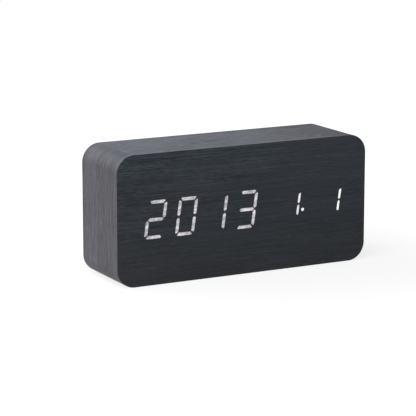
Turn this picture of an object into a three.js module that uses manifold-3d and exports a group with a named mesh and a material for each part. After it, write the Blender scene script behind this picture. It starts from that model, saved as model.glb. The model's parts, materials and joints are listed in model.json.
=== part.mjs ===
// A desk clock in a rounded wood-effect block. Its LED digits shine through the film of the front.
// Millimetres, +Z up. The origin is the middle of the underside, and the display faces -Y.
// Inside, every piece is placed from the middle of the block, so z = 0 there is half its height.
import * as THREE from "three";
import { mergeVertices } from "three/addons/utils/BufferGeometryUtils.js";
import Module from "manifold-3d";

const wasm = await Module();
wasm.setup();

// The block
const CASE_WIDTH = 150;
const CASE_HEIGHT = 70;
const CASE_DEPTH = 43;
const CASE_CORNER = 10;
const FILM = 0.4;
const WALL = 5;
const POCKET_CORNER = 6;
const POST_RADIUS = 4.5;
const REBATE = 2;
const REBATE_CORNER = 6.5;

// Rear cover
const COVER_THICKNESS = 2.2;
const COVER_RECESS = 1.8;
const COVER_CLEARANCE = 0.3;
const COVER_SCREW_INSET = 5.5;
const COUNTERBORE_RADIUS = 2.9;
const COUNTERBORE_DEPTH = 1;

// Screws
const SCREW_RADIUS = 1.1;
const SCREW_HEAD_RADIUS = 2.3;
const SCREW_HEAD_HEIGHT = 1.5;
const SCREW_CLEARANCE = 0.1;
const COVER_SCREW_LENGTH = 9;
const BOARD_SCREW_LENGTH = 6.5;
const KEY_SCREW_LENGTH = 5;
const CROSS_LENGTH = 2.6;
const CROSS_WIDTH = 0.6;
const CROSS_DEPTH = 0.8;

// Display modules
const SLANT = 8;
const MODULE_DEPTH = 8;
const MODULE_CLEARANCE = 0.3;
const POT_DEPTH = 3;
const POT_WALL = 0.8;
const RESIN_CLEARANCE = 0.15;
const LIGHT_RECESS = 0.1;
const ROW_OFFSET = -0.2;
const MITRE = 0.6;

// Large digits
const YEAR_SHOWN = "2013";
const YEAR_PITCH = 18;
const YEAR_MODULE_GAP = 0.2;
const YEAR_MODULE_HEIGHT = 27.7;
const YEAR_STROKE = 1.7;
const YEAR_ACROSS = 9.44;
const YEAR_RISE = 9.3;
const YEAR_BAR = 8.9;
const YEAR_UPRIGHT = 8.5;

// Date digits
const DATE_SHOWN = " 1 1";
const DATE_PITCH = 12.7;
const DATE_GAP = 0.8;
const DATE_MODULE_WIDTH = 50.3;
const DATE_MODULE_HEIGHT = 19;
const DATE_STROKE = 1.25;
const DATE_ACROSS = 6.7;
const DATE_RISE = 6.4;
const DATE_BAR = 6.2;
const DATE_UPRIGHT = 5.8;
const DOT_RADIUS = 0.85;
const DOT_RISE = 3.3;

// Main board and what it carries
const BOARD_THICKNESS = 1.6;
const BOARD_MARGIN = 0.3;
const BOARD_HEIGHT = 42;
const BOARD_CORNER = 4;
const BOARD_SCREW_INSET = 4;
const CHIP_WIDTH = 18;
const CHIP_HEIGHT = 7.6;
const CHIP_THICKNESS = 2.3;
const CHIP_X = 44;
const CRYSTAL_RADIUS = 1.5;
const CRYSTAL_LENGTH = 8;
const CRYSTAL_Z = -8;

// Key board and what it carries
const KEY_BOARD_WIDTH = 50;
const KEY_BOARD_HEIGHT = 42;
const KEY_BOARD_MARGIN = 9.7;
const KEY_BOARD_CORNER = 2;
const BUTTON_PITCH = 15.5;
const BUTTON_Z = 12;
const BUTTON_RADIUS = 3.5;
const BUTTON_PROUD = 1.1;
const BUTTON_TRAVEL = 0.6;
const BUTTON_CLEARANCE = 0.25;
const FLANGE_RADIUS = 4.6;
const FLANGE_THICKNESS = 1;
const FLANGE_GAP = 0.3;
const PLUNGER_RADIUS = 1.7;
const PLUNGER_LENGTH = 2.8;
const PLUNGER_PROUD = 1.2;
const KEY_SWITCH_SIZE = 6;
const KEY_SWITCH_HEIGHT = 3.5;
const LOWER_ROW_Z = -12;
const SWITCH_WIDTH = 10;
const SWITCH_DEPTH = 5.4;
const SWITCH_HEIGHT = 3.6;
const SWITCH_FLOOR = 1.4;
const SWITCH_TRAVEL = 2;
const KNOB_WIDTH = 2.6;
const KNOB_DEPTH = 2;
const KNOB_PROUD = 1;
const KNOB_FOOT = 3.4;
const KNOB_CLEARANCE = 0.3;
const KNOB_FLANGE_WIDTH = 8.4;
const KNOB_FLANGE_DEPTH = 4;
const KNOB_FLANGE_THICKNESS = 0.8;
const SOCKET_BODY = 8;
const SOCKET_BODY_HEIGHT = 5.5;
const SOCKET_NOSE_RADIUS = 3;
const SOCKET_BORE_RADIUS = 1.85;
const SOCKET_BORE_DEPTH = 6.5;
const SOCKET_PIN_RADIUS = 0.65;
const SOCKET_PIN_RECESS = 1;
const SOCKET_CLEARANCE = 0.25;
const BUZZER_RADIUS = 6;
const BUZZER_HEIGHT = 5;
const BUZZER_Z = -3;
const BUZZER_HOLE_RADIUS = 1;
const SLOT_COUNT = 5;
const SLOT_PITCH = 2.2;
const SLOT_WIDTH = 1;
const SLOT_LENGTH = 8;
const MICROPHONE_RADIUS = 2;
const MICROPHONE_HEIGHT = 2.7;
const MICROPHONE_Z = -15;
const MICROPHONE_HOLE_RADIUS = 0.8;
const BOSS_RADIUS = 2.6;
const BOSS_SPREAD = 21.5;

// Cells, their bay and its contacts
const CELL_RADIUS = 5.25;
const CELL_LENGTH = 44.5;
const CELL_GAP = 0.5;
const CELL_CLEARANCE = 0.3;
const NUB_RADIUS = 1.9;
const NUB_LENGTH = 1;
const CELL_EDGE = 0.6;
const BAY_MARGIN = 11.6;
const BAY_WALL = 1.5;
const CONTACT_THICKNESS = 0.4;
const CONTACT_HEIGHT = 9;
const CONTACT_WIDTH = 9;
const CONTACT_GAP = 0.3;
const TAB_WIDTH = 3;
const TAB_LENGTH = 2;
const TAB_RISE = 3;
const TAB_CLEARANCE = 0.2;
const SPRING_LENGTH = 5;
const SPRING_TURNS = 4;
const SPRING_WIRE = 0.6;
const SPRING_BASE_RADIUS = 3.4;
const SPRING_TIP_RADIUS = 2.2;
const SPRING_SINK = 0.15;

// Battery door
const DOOR_THICKNESS = 1.6;
const DOOR_LEDGE = 1.2;
const DOOR_CLEARANCE = 0.3;
const DOOR_CORNER = 2;
const DOOR_CELL_GAP = 0.6;
const HOOK_SPREAD = 30;
const HOOK_WIDTH = 7;
const HOOK_REACH = 1.5;
const HOOK_THICKNESS = 0.8;
const HOOK_DROP = 0.8;
const HOOK_ROOT = 1.8;
const TONGUE_WIDTH = 12;
const TONGUE_LENGTH = 9;
const TONGUE_SLOT = 0.8;
const SCOOP_RADIUS = 6;
const SCOOP_DEPTH = 1.2;

// Wiring
const PLUG_WIDTH = 12;
const PLUG_THICKNESS = 4.5;
const PLUG_HEIGHT = 5;
const PLUG_SLOT_DEPTH = 3;
const PLUG_FLOOR_GAP = 0.5;
const PLUG_CLEARANCE = 0.3;
const RIBBON_WIDTH = 10;
const RIBBON_THICKNESS = 0.9;
const RIBBON_OFFSET = -12;
const RIBBON_BOARD_X = -4;
const RIBBON_EASE = 0.75;
const LEAD_RADIUS = 0.6;
const LEAD_BOW = 3.5;
const LEAD_BEND = 0.6;
const LEAD_BOARD_X = 10;
const LEAD_RISE = 15;
const LEAD_GAP = 0.3;

// How far a cutting shape reaches past what it cuts, and how far joined shapes sink in
const CUT = 1;
const WELD = 0.1;

// How finely round shapes are divided
const ARC_STEPS = 4;
const ROD_SIDES = 20;
const SCREW_SIDES = 12;
const CURL_STEPS = 8;
const WIRE_SIDES = 5;

// Depths of the main planes, from the front to the back
const FRONT_Y = -CASE_DEPTH / 2;
const BODY_FRONT_Y = FRONT_Y + FILM;
const BOARD_FRONT_Y = BODY_FRONT_Y + MODULE_DEPTH;
const BOARD_REAR_Y = BOARD_FRONT_Y + BOARD_THICKNESS;
const REAR_Y = CASE_DEPTH / 2;
const BODY_REAR_Y = REAR_Y - FILM;
const COVER_REAR_Y = REAR_Y - COVER_RECESS;
const COVER_FRONT_Y = COVER_REAR_Y - COVER_THICKNESS;
const FLANGE_FRONT_Y = COVER_FRONT_Y - FLANGE_GAP - FLANGE_THICKNESS;
const KEY_REAR_Y = FLANGE_FRONT_Y - PLUNGER_PROUD - KEY_SWITCH_HEIGHT;
const KEY_FRONT_Y = KEY_REAR_Y - BOARD_THICKNESS;
const DOOR_FRONT_Y = COVER_REAR_Y - DOOR_THICKNESS;
const CELL_Y = DOOR_FRONT_Y - DOOR_CELL_GAP - CELL_RADIUS;
const BAY_FLOOR_Y = CELL_Y - CELL_RADIUS - CELL_CLEARANCE;

// Widths and places that follow from the sizes above
const POCKET_WIDTH = CASE_WIDTH - 2 * FILM - 2 * WALL;
const POCKET_HEIGHT = CASE_HEIGHT - 2 * FILM - 2 * WALL;
const REBATE_WIDTH = POCKET_WIDTH + 2 * REBATE;
const REBATE_HEIGHT = POCKET_HEIGHT + 2 * REBATE;
const COVER_WIDTH = REBATE_WIDTH - 2 * COVER_CLEARANCE;
const COVER_HEIGHT = REBATE_HEIGHT - 2 * COVER_CLEARANCE;
const YEAR_MODULE_WIDTH = YEAR_PITCH - YEAR_MODULE_GAP;
const YEAR_ROW_WIDTH = YEAR_SHOWN.length * YEAR_PITCH - YEAR_MODULE_GAP;
const ROW_WIDTH = YEAR_ROW_WIDTH + DATE_GAP + DATE_MODULE_WIDTH;
const ROW_LEFT = ROW_OFFSET - ROW_WIDTH / 2;
const DATE_X = ROW_LEFT + ROW_WIDTH - DATE_MODULE_WIDTH / 2;
const BOARD_WIDTH = ROW_WIDTH + 2 * BOARD_MARGIN;
const KEY_BOARD_X = COVER_WIDTH / 2 - KEY_BOARD_MARGIN - KEY_BOARD_WIDTH / 2;
const CELL_COUNT = 4;
const CELL_PITCH = 2 * CELL_RADIUS + CELL_GAP;
const BAY_LENGTH = CELL_LENGTH + SPRING_LENGTH + 2 * CONTACT_THICKNESS + 2 * CONTACT_GAP;
const BAY_HEIGHT = CELL_COUNT * CELL_PITCH;
const BAY_LEFT = BAY_MARGIN - COVER_WIDTH / 2;
const BAY_RIGHT = BAY_LEFT + BAY_LENGTH;
const BAY_X = (BAY_LEFT + BAY_RIGHT) / 2;
const DOOR_WIDTH = BAY_LENGTH + 2 * DOOR_LEDGE;
const DOOR_HEIGHT = BAY_HEIGHT + 2 * DOOR_LEDGE;
const DOOR_AXIS_Y = COVER_REAR_Y - DOOR_THICKNESS / 2;
const DOOR_AXIS_Z = (DOOR_THICKNESS - DOOR_HEIGHT) / 2;
const LEAN = Math.tan(THREE.MathUtils.degToRad(SLANT));

const YEAR_DIGIT = {
  stroke: YEAR_STROKE, across: YEAR_ACROSS, rise: YEAR_RISE, bar: YEAR_BAR, upright: YEAR_UPRIGHT,
};
const DATE_DIGIT = {
  stroke: DATE_STROKE, across: DATE_ACROSS, rise: DATE_RISE, bar: DATE_BAR, upright: DATE_UPRIGHT,
};

// Level segments by their row, and upright ones by their column and their half
const BARS = { a: 1, g: 0, d: -1 };
const UPRIGHTS = { b: [1, 1], c: [1, -1], e: [-1, -1], f: [-1, 1] };
const GLYPHS = {
  0: "abcdef", 1: "bc", 2: "abdeg", 3: "abcdg", 4: "bcfg",
  5: "acdfg", 6: "acdefg", 7: "abc", 8: "abcdefg", 9: "abcdfg", " ": "",
};

function finish(color, roughness, metalness = 0) {
  return new THREE.MeshStandardMaterial({ color, roughness, metalness });
}

const FINISHES = {
  film: finish(0x3c3e43, 0.6),
  fibreboard: finish(0x8a6f52, 0.9),
  cover: finish(0x1c1d1f, 0.55),
  key: finish(0x2a2b2e, 0.5),
  housing: finish(0x17181a, 0.6),
  resin: finish(0xf2f2f0, 0.5),
  board: finish(0x1f5a3a, 0.5),
  chip: finish(0x202124, 0.6),
  socket: finish(0xe6e2d6, 0.6),
  steel: finish(0xb4b7ba, 0.3, 1),
  tin: finish(0xc8c9c6, 0.35, 1),
  cell: finish(0x55585e, 0.45),
  ribbon: finish(0x8f9297, 0.6),
  redLead: finish(0xb3261e, 0.5),
  blackLead: finish(0x141416, 0.5),
};

function solid(geometry) {
  geometry.deleteAttribute("normal");
  geometry.deleteAttribute("uv");
  const merged = mergeVertices(geometry, 1e-4);
  const corners = merged.index.array;
  const kept = [];
  for (let at = 0; at < corners.length; at += 3) {
    const [a, b, c] = corners.slice(at, at + 3);
    if (a !== b && b !== c && c !== a) {
      kept.push(a, b, c);
    }
  }
  const vertProperties = merged.attributes.position.array;
  return new wasm.Manifold(new wasm.Mesh({ numProp: 3, vertProperties, triVerts: new Uint32Array(kept) }));
}

function part(name, shape, material) {
  const { vertProperties, triVerts, numProp } = shape.getMesh();
  const positions = [];
  for (const corner of triVerts) {
    positions.push(...vertProperties.slice(corner * numProp, corner * numProp + 3));
  }
  const geometry = new THREE.BufferGeometry();
  geometry.setAttribute("position", new THREE.Float32BufferAttribute(positions, 3));
  geometry.computeVertexNormals();
  const mesh = new THREE.Mesh(geometry, material);
  mesh.name = name;
  return mesh;
}

function group(name, members, x = 0, y = 0, z = 0) {
  const made = new THREE.Group();
  made.name = name;
  made.add(...members);
  made.position.set(x, y, z);
  return made;
}

const join = (shapes) => shapes.reduce((whole, shape) => whole.add(shape));
const cut = (shape, tools) => tools.reduce((whole, tool) => whole.subtract(tool), shape);
const span = (middle, length) => [middle - length / 2, middle + length / 2];

// A box from its low and high limits along each axis
function cuboid([left, right], [front, back], [low, high]) {
  const box = new THREE.BoxGeometry(right - left, back - front, high - low);
  return solid(box.translate((left + right) / 2, (front + back) / 2, (low + high) / 2));
}

// A round bar along Y
function rod(radius, front, back, x = 0, z = 0, sides = ROD_SIDES) {
  const bar = new THREE.CylinderGeometry(radius, radius, back - front, sides);
  return solid(bar.translate(x, (front + back) / 2, z));
}

// A plate with an outline in x and z, from one depth to another
function slab(shape, front, back) {
  const options = { depth: back - front, bevelEnabled: false, curveSegments: ARC_STEPS };
  const plate = new THREE.ExtrudeGeometry(shape, options);
  return solid(plate.rotateX(Math.PI / 2).translate(0, back, 0));
}

function roundedRect(width, height, radius, x = 0, z = 0) {
  const right = width / 2 - radius;
  const top = height / 2 - radius;
  const quarter = Math.PI / 2;
  const shape = new THREE.Shape();
  shape.absarc(x + right, z + top, radius, 0, quarter);
  shape.absarc(x - right, z + top, radius, quarter, 2 * quarter);
  shape.absarc(x - right, z - top, radius, 2 * quarter, 3 * quarter);
  shape.absarc(x + right, z - top, radius, 3 * quarter, 4 * quarter);
  return shape;
}

const caseOutline = (inset) => roundedRect(
  CASE_WIDTH - 2 * inset, CASE_HEIGHT - 2 * inset, CASE_CORNER - inset,
);
const rebateOutline = () => roundedRect(REBATE_WIDTH, REBATE_HEIGHT, REBATE_CORNER);

function corners(halfWidth, halfHeight) {
  return [[-1, 1], [1, 1], [-1, -1], [1, -1]].map(([x, z]) => [x * halfWidth, z * halfHeight]);
}

const COVER_SCREWS = corners(REBATE_WIDTH / 2 - COVER_SCREW_INSET, REBATE_HEIGHT / 2 - COVER_SCREW_INSET);
const BOARD_SCREWS = corners(BOARD_WIDTH / 2 - BOARD_SCREW_INSET, BOARD_HEIGHT / 2 - BOARD_SCREW_INSET)
  .map(([x, z]) => [x + ROW_OFFSET, z]);
const KEY_SCREWS = [-BOSS_SPREAD, BOSS_SPREAD].map((x) => [KEY_BOARD_X + x, 0]);

// The outline of one segment of a slanted digit, larger all round by a clearance.
// Its ends are pointed, and the outer ones point to the outside of the digit.
function segmentShape(letter, digit, x, grow = 0) {
  const half = digit.stroke / 2 + grow;
  const level = letter in BARS;
  const reach = (level ? digit.bar : digit.upright) / 2 + grow;
  const [column, side] = level ? [0, 0] : UPRIGHTS[letter];
  const startTip = level ? BARS[letter] : column * (side < 0 ? 1 : 0);
  const endTip = level ? BARS[letter] : column * (side > 0 ? 1 : 0);
  const outline = [
    [-reach, startTip * MITRE * half], [half - reach, half], [reach - half, half],
    [reach, endTip * MITRE * half], [reach - half, -half], [half - reach, -half],
  ];
  const points = outline.map(([along, across]) => {
    const right = level ? along : column * digit.across / 2 + across;
    const up = level ? BARS[letter] * digit.rise + across : side * digit.rise / 2 + along;
    return new THREE.Vector2(x + right + up * LEAN, up);
  });
  return new THREE.Shape(points);
}

// Segments and dots of a module: each can be cut or raised at any depth
function segmentsOf(digit, x, lit) {
  return [...Object.keys(BARS), ...Object.keys(UPRIGHTS)].map((letter) => ({
    lit: lit.includes(letter),
    prism: (front, back, grow = 0) => slab(segmentShape(letter, digit, x, grow), front, back),
  }));
}

function dotOf(x, z, lit) {
  return { lit, prism: (front, back, grow = 0) => rod(DOT_RADIUS + grow, front, back, x + z * LEAN, z) };
}

const dateDigitX = (index) => (index - (DATE_SHOWN.length - 1) / 2) * DATE_PITCH;
const yearX = (index) => ROW_LEFT + YEAR_MODULE_WIDTH / 2 + index * YEAR_PITCH;

function yearModule(index) {
  const lights = segmentsOf(YEAR_DIGIT, 0, GLYPHS[YEAR_SHOWN[index]]);
  return {
    name: `digit_${index + 1}`, x: yearX(index), lights,
    width: YEAR_MODULE_WIDTH, height: YEAR_MODULE_HEIGHT,
  };
}

function dateModule() {
  const digits = [...DATE_SHOWN].flatMap((glyph, index) => (
    segmentsOf(DATE_DIGIT, dateDigitX(index), GLYPHS[glyph])
  ));
  const lights = [...digits, dotOf(0, DOT_RISE, false), dotOf(0, -DOT_RISE, true)];
  return { name: "date", x: DATE_X, width: DATE_MODULE_WIDTH, height: DATE_MODULE_HEIGHT, lights };
}

const MODULES = [...[...YEAR_SHOWN].map((glyph, index) => yearModule(index)), dateModule()];

function moduleHousing({ width, height, lights }) {
  const shell = cuboid(span(0, width), [0, MODULE_DEPTH], span(0, height));
  const potFront = MODULE_DEPTH - POT_DEPTH;
  const pot = cuboid(
    span(0, width - 2 * POT_WALL), [potFront, MODULE_DEPTH + CUT], span(0, height - 2 * POT_WALL),
  );
  return cut(shell, [pot, ...lights.map((light) => light.prism(-CUT, potFront + CUT, RESIN_CLEARANCE))]);
}

// Lit segments stand up into the windows of the film, to just under its surface
function moduleResin({ width, height, lights }) {
  const inset = 2 * (POT_WALL + RESIN_CLEARANCE);
  const front = MODULE_DEPTH - POT_DEPTH + RESIN_CLEARANCE;
  const filling = cuboid(span(0, width - inset), [front, MODULE_DEPTH], span(0, height - inset));
  const raised = LIGHT_RECESS - FILM;
  return join([filling, ...lights.map((light) => light.prism(light.lit ? raised : 0, front + WELD))]);
}

function moduleParts(module) {
  const housing = part(`${module.name}_housing`, moduleHousing(module), FINISHES.housing);
  const resin = part(`${module.name}_segments`, moduleResin(module), FINISHES.resin);
  return group(module.name, [housing, resin], module.x, BODY_FRONT_Y);
}

function screw(length) {
  const tip = SCREW_RADIUS;
  const dome = SCREW_HEAD_HEIGHT / 3;
  const outline = [
    [0, -length], [SCREW_RADIUS, tip - length], [SCREW_RADIUS, 0], [SCREW_HEAD_RADIUS, 0],
    [SCREW_HEAD_RADIUS, SCREW_HEAD_HEIGHT - dome], [SCREW_HEAD_RADIUS - dome, SCREW_HEAD_HEIGHT],
    [0, SCREW_HEAD_HEIGHT],
  ];
  const points = outline.map(([x, y]) => new THREE.Vector2(x, y));
  const body = solid(new THREE.LatheGeometry(points, SCREW_SIDES));
  const depth = [SCREW_HEAD_HEIGHT - CROSS_DEPTH, SCREW_HEAD_HEIGHT + CUT];
  const across = cuboid(span(0, CROSS_LENGTH), depth, span(0, CROSS_WIDTH));
  const along = cuboid(span(0, CROSS_WIDTH), depth, span(0, CROSS_LENGTH));
  return cut(body, [across, along]);
}

function screws(name, length, places, seat, turn = 0) {
  return places.map(([x, z], index) => {
    const made = part(`${name}_${index + 1}`, screw(length), FINISHES.steel);
    made.position.set(x, seat, z);
    made.rotation.x = turn;
    return made;
  });
}

const pilotHoles = (places, front, back) => places.map(([x, z]) => (
  rod(SCREW_RADIUS + SCREW_CLEARANCE, front, back, x, z, SCREW_SIDES)
));

function displayWindow() {
  const grow = 2 * MODULE_CLEARANCE;
  const depth = [BODY_FRONT_Y - CUT, BOARD_FRONT_Y + CUT];
  const year = cuboid(
    span(ROW_LEFT + YEAR_ROW_WIDTH / 2, YEAR_ROW_WIDTH + grow), depth, span(0, YEAR_MODULE_HEIGHT + grow),
  );
  const date = cuboid(span(DATE_X, DATE_MODULE_WIDTH + grow), depth, span(0, DATE_MODULE_HEIGHT + grow));
  const bridgeLeft = ROW_LEFT + YEAR_ROW_WIDTH;
  const bridge = cuboid([bridgeLeft, bridgeLeft + DATE_GAP], depth, span(0, DATE_MODULE_HEIGHT + grow));
  return join([year, date, bridge]);
}

function caseBody() {
  const block = slab(caseOutline(FILM), BODY_FRONT_Y, BODY_REAR_Y);
  const pocketOutline = roundedRect(POCKET_WIDTH, POCKET_HEIGHT, POCKET_CORNER);
  const pocket = slab(pocketOutline, BOARD_FRONT_Y, BODY_REAR_Y + CUT);
  const posts = COVER_SCREWS.map(([x, z]) => (
    rod(POST_RADIUS, BOARD_FRONT_Y - CUT, BODY_REAR_Y + 2 * CUT, x, z)
  ));
  const rebate = slab(rebateOutline(), COVER_FRONT_Y, BODY_REAR_Y + CUT);
  const coverTip = COVER_REAR_Y - COUNTERBORE_DEPTH - COVER_SCREW_LENGTH - CUT;
  const boardTip = BOARD_REAR_Y - BOARD_SCREW_LENGTH - CUT;
  return cut(block, [
    cut(pocket, posts), rebate, displayWindow(),
    ...pilotHoles(COVER_SCREWS, coverTip, COVER_FRONT_Y + CUT),
    ...pilotHoles(BOARD_SCREWS, boardTip, BOARD_FRONT_Y + CUT),
  ]);
}

function frontFilm() {
  const sheet = slab(caseOutline(0), FRONT_Y, BODY_FRONT_Y);
  const windows = MODULES.flatMap(({ x, lights }) => lights.filter((light) => light.lit).map((light) => (
    light.prism(FRONT_Y - CUT, BODY_FRONT_Y + CUT, RESIN_CLEARANCE).translate([x, 0, 0])
  )));
  return cut(sheet, windows);
}

const sleeve = () => slab(caseOutline(0), BODY_FRONT_Y, BODY_REAR_Y)
  .subtract(slab(caseOutline(FILM), BODY_FRONT_Y - CUT, BODY_REAR_Y + CUT));
const baseStrip = () => cuboid(
  span(0, CASE_WIDTH - 2 * CASE_CORNER), [BODY_FRONT_Y, BODY_REAR_Y],
  [-CASE_HEIGHT / 2, FILM - CASE_HEIGHT / 2],
);
const rearFilm = () => slab(caseOutline(0), BODY_REAR_Y, REAR_Y)
  .subtract(slab(rebateOutline(), BODY_REAR_Y - CUT, REAR_Y + CUT));

function caseParts() {
  return group("block", [
    part("case_body", caseBody(), FINISHES.fibreboard),
    part("front_film", frontFilm(), FINISHES.film),
    part("wrap_film", sleeve().subtract(baseStrip()), FINISHES.film),
    part("base_film", baseStrip(), FINISHES.film),
    part("rear_film", rearFilm(), FINISHES.film),
  ]);
}

function mainBoard() {
  const plate = slab(
    roundedRect(BOARD_WIDTH, BOARD_HEIGHT, BOARD_CORNER, ROW_OFFSET, 0), BOARD_FRONT_Y, BOARD_REAR_Y,
  );
  return cut(plate, pilotHoles(BOARD_SCREWS, BOARD_FRONT_Y - CUT, BOARD_REAR_Y + CUT));
}

// A socket with a slot for the ribbon, standing up from y = 0
function ribbonSocket() {
  const body = cuboid(span(0, PLUG_THICKNESS), [0, PLUG_HEIGHT], span(0, PLUG_WIDTH));
  const slot = cuboid(
    span(0, RIBBON_THICKNESS + 2 * PLUG_CLEARANCE),
    [PLUG_HEIGHT - PLUG_SLOT_DEPTH, PLUG_HEIGHT + CUT],
    span(0, RIBBON_WIDTH + 2 * PLUG_CLEARANCE),
  );
  return body.subtract(slot);
}

const RIBBON_KEY_X = KEY_BOARD_X + RIBBON_BOARD_X;
const RIBBON_MAIN_X = RIBBON_KEY_X + RIBBON_OFFSET;

function mainBoardParts() {
  const chip = cuboid(
    span(CHIP_X, CHIP_WIDTH), [BOARD_REAR_Y, BOARD_REAR_Y + CHIP_THICKNESS], span(0, CHIP_HEIGHT),
  );
  const can = new THREE.CylinderGeometry(CRYSTAL_RADIUS, CRYSTAL_RADIUS, CRYSTAL_LENGTH, ROD_SIDES);
  const crystal = part("quartz_crystal", solid(can), FINISHES.steel);
  crystal.position.set(CHIP_X, BOARD_REAR_Y + CRYSTAL_RADIUS, CRYSTAL_Z);
  crystal.rotation.z = Math.PI / 2;
  const socket = part("main_socket", ribbonSocket(), FINISHES.socket);
  socket.position.set(RIBBON_MAIN_X, BOARD_REAR_Y, 0);
  return group("display", [
    ...MODULES.map(moduleParts),
    part("main_board", mainBoard(), FINISHES.board),
    part("clock_chip", chip, FINISHES.chip),
    crystal, socket,
    ...screws("board_screw", BOARD_SCREW_LENGTH, BOARD_SCREWS, BOARD_REAR_Y),
  ]);
}

// The flat ribbon runs in an S from one board to the other
function ribbon() {
  const sunk = PLUG_SLOT_DEPTH - PLUG_FLOOR_GAP;
  const startY = BOARD_REAR_Y + PLUG_HEIGHT - sunk;
  const endY = KEY_FRONT_Y - PLUG_HEIGHT + sunk;
  const lead = (endY - startY) * RIBBON_EASE;
  const path = new THREE.CubicBezierCurve(
    new THREE.Vector2(RIBBON_MAIN_X, startY), new THREE.Vector2(RIBBON_MAIN_X, startY + lead),
    new THREE.Vector2(RIBBON_KEY_X, endY - lead), new THREE.Vector2(RIBBON_KEY_X, endY),
  );
  const steps = 2 * CURL_STEPS;
  const left = [];
  const right = [];
  for (let step = 0; step <= steps; step += 1) {
    const at = path.getPoint(step / steps);
    const along = path.getTangent(step / steps);
    const aside = new THREE.Vector2(-along.y, along.x).multiplyScalar(RIBBON_THICKNESS / 2);
    left.push(at.clone().add(aside));
    right.unshift(at.clone().sub(aside));
  }
  const strip = new THREE.ExtrudeGeometry(
    new THREE.Shape([...left, ...right]), { depth: RIBBON_WIDTH, bevelEnabled: false },
  );
  return solid(strip.translate(0, 0, -RIBBON_WIDTH / 2));
}

function doorShape(grow) {
  const right = DOOR_WIDTH / 2 + grow;
  const top = DOOR_HEIGHT / 2 + grow;
  const radius = DOOR_CORNER + grow;
  const shape = new THREE.Shape();
  shape.moveTo(-right, -top);
  shape.lineTo(right, -top);
  shape.absarc(right - radius, top - radius, radius, 0, Math.PI / 2);
  shape.absarc(radius - right, top - radius, radius, Math.PI / 2, Math.PI);
  return shape;
}

const HOOKS = [-HOOK_SPREAD / 2, HOOK_SPREAD / 2];
const HOOK_REAR_Y = COVER_FRONT_Y - DOOR_CLEARANCE;

// The door turns on its rounded lower edge, and its hooks stay behind the cover's plate
function batteryDoor() {
  const bottom = -DOOR_HEIGHT / 2;
  const plate = slab(doorShape(0), DOOR_FRONT_Y, COVER_REAR_Y);
  const depth = [DOOR_FRONT_Y - CUT, COVER_REAR_Y + CUT];
  const below = cuboid(span(0, DOOR_WIDTH + 2 * CUT), depth, [bottom - CUT, DOOR_AXIS_Z]);
  const roller = new THREE.CylinderGeometry(DOOR_THICKNESS / 2, DOOR_THICKNESS / 2, DOOR_WIDTH, ROD_SIDES);
  const edge = solid(roller.rotateZ(Math.PI / 2).translate(0, DOOR_AXIS_Y, DOOR_AXIS_Z));
  const hooks = HOOKS.flatMap((x) => [
    cuboid(
      span(x, HOOK_WIDTH), [HOOK_REAR_Y - HOOK_THICKNESS, DOOR_FRONT_Y + HOOK_DROP],
      [DOOR_AXIS_Z, DOOR_AXIS_Z + HOOK_ROOT],
    ),
    cuboid(
      span(x, HOOK_WIDTH), [HOOK_REAR_Y - HOOK_THICKNESS, HOOK_REAR_Y],
      [bottom - HOOK_REACH, DOOR_AXIS_Z + HOOK_ROOT],
    ),
  ]);
  const top = DOOR_HEIGHT / 2;
  const slots = [-TONGUE_WIDTH / 2, TONGUE_WIDTH / 2].map((x) => cuboid(
    span(x, TONGUE_SLOT), depth, [top - TONGUE_LENGTH, top + CUT],
  ));
  return join([cut(plate, [below, ...slots]), edge, ...hooks]);
}

// Room for the hooks to swing through the bay's lower wall
function hookSlots() {
  const swing = Math.hypot(DOOR_AXIS_Y - HOOK_REAR_Y + HOOK_THICKNESS, HOOK_REACH + DOOR_THICKNESS / 2);
  return HOOKS.map((x) => cuboid(
    span(BAY_X + x, HOOK_WIDTH + 2 * DOOR_CLEARANCE),
    [DOOR_AXIS_Y - swing - DOOR_CLEARANCE, DOOR_FRONT_Y + CUT],
    [-DOOR_HEIGHT / 2 - DOOR_CLEARANCE, CUT - BAY_HEIGHT / 2],
  ));
}

const cellZ = (index) => ((CELL_COUNT - 1) / 2 - index) * CELL_PITCH;

function rearCover() {
  const outer = roundedRect(COVER_WIDTH, COVER_HEIGHT, REBATE_CORNER - COVER_CLEARANCE);
  const plate = slab(outer, COVER_FRONT_Y, COVER_REAR_Y);
  const bay = cuboid(
    span(BAY_X, BAY_LENGTH + 2 * BAY_WALL), [BAY_FLOOR_Y - BAY_WALL, COVER_FRONT_Y + WELD],
    span(0, BAY_HEIGHT + 2 * BAY_WALL),
  );
  const bosses = KEY_SCREWS.map(([x, z]) => rod(BOSS_RADIUS, KEY_REAR_Y, COVER_FRONT_Y + WELD, x, z));
  const room = cuboid([BAY_LEFT, BAY_RIGHT], [BAY_FLOOR_Y, COVER_REAR_Y + CUT], span(0, BAY_HEIGHT));
  const recess = slab(doorShape(DOOR_CLEARANCE), DOOR_FRONT_Y, COVER_REAR_Y + CUT).translate([BAY_X, 0, 0]);
  const scoop = rod(SCOOP_RADIUS, COVER_REAR_Y - SCOOP_DEPTH, COVER_REAR_Y + CUT, BAY_X, DOOR_HEIGHT / 2);
  return cut(join([plate, bay, ...bosses]), [room, recess, scoop, ...hookSlots(), ...coverHoles()]);
}

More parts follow.
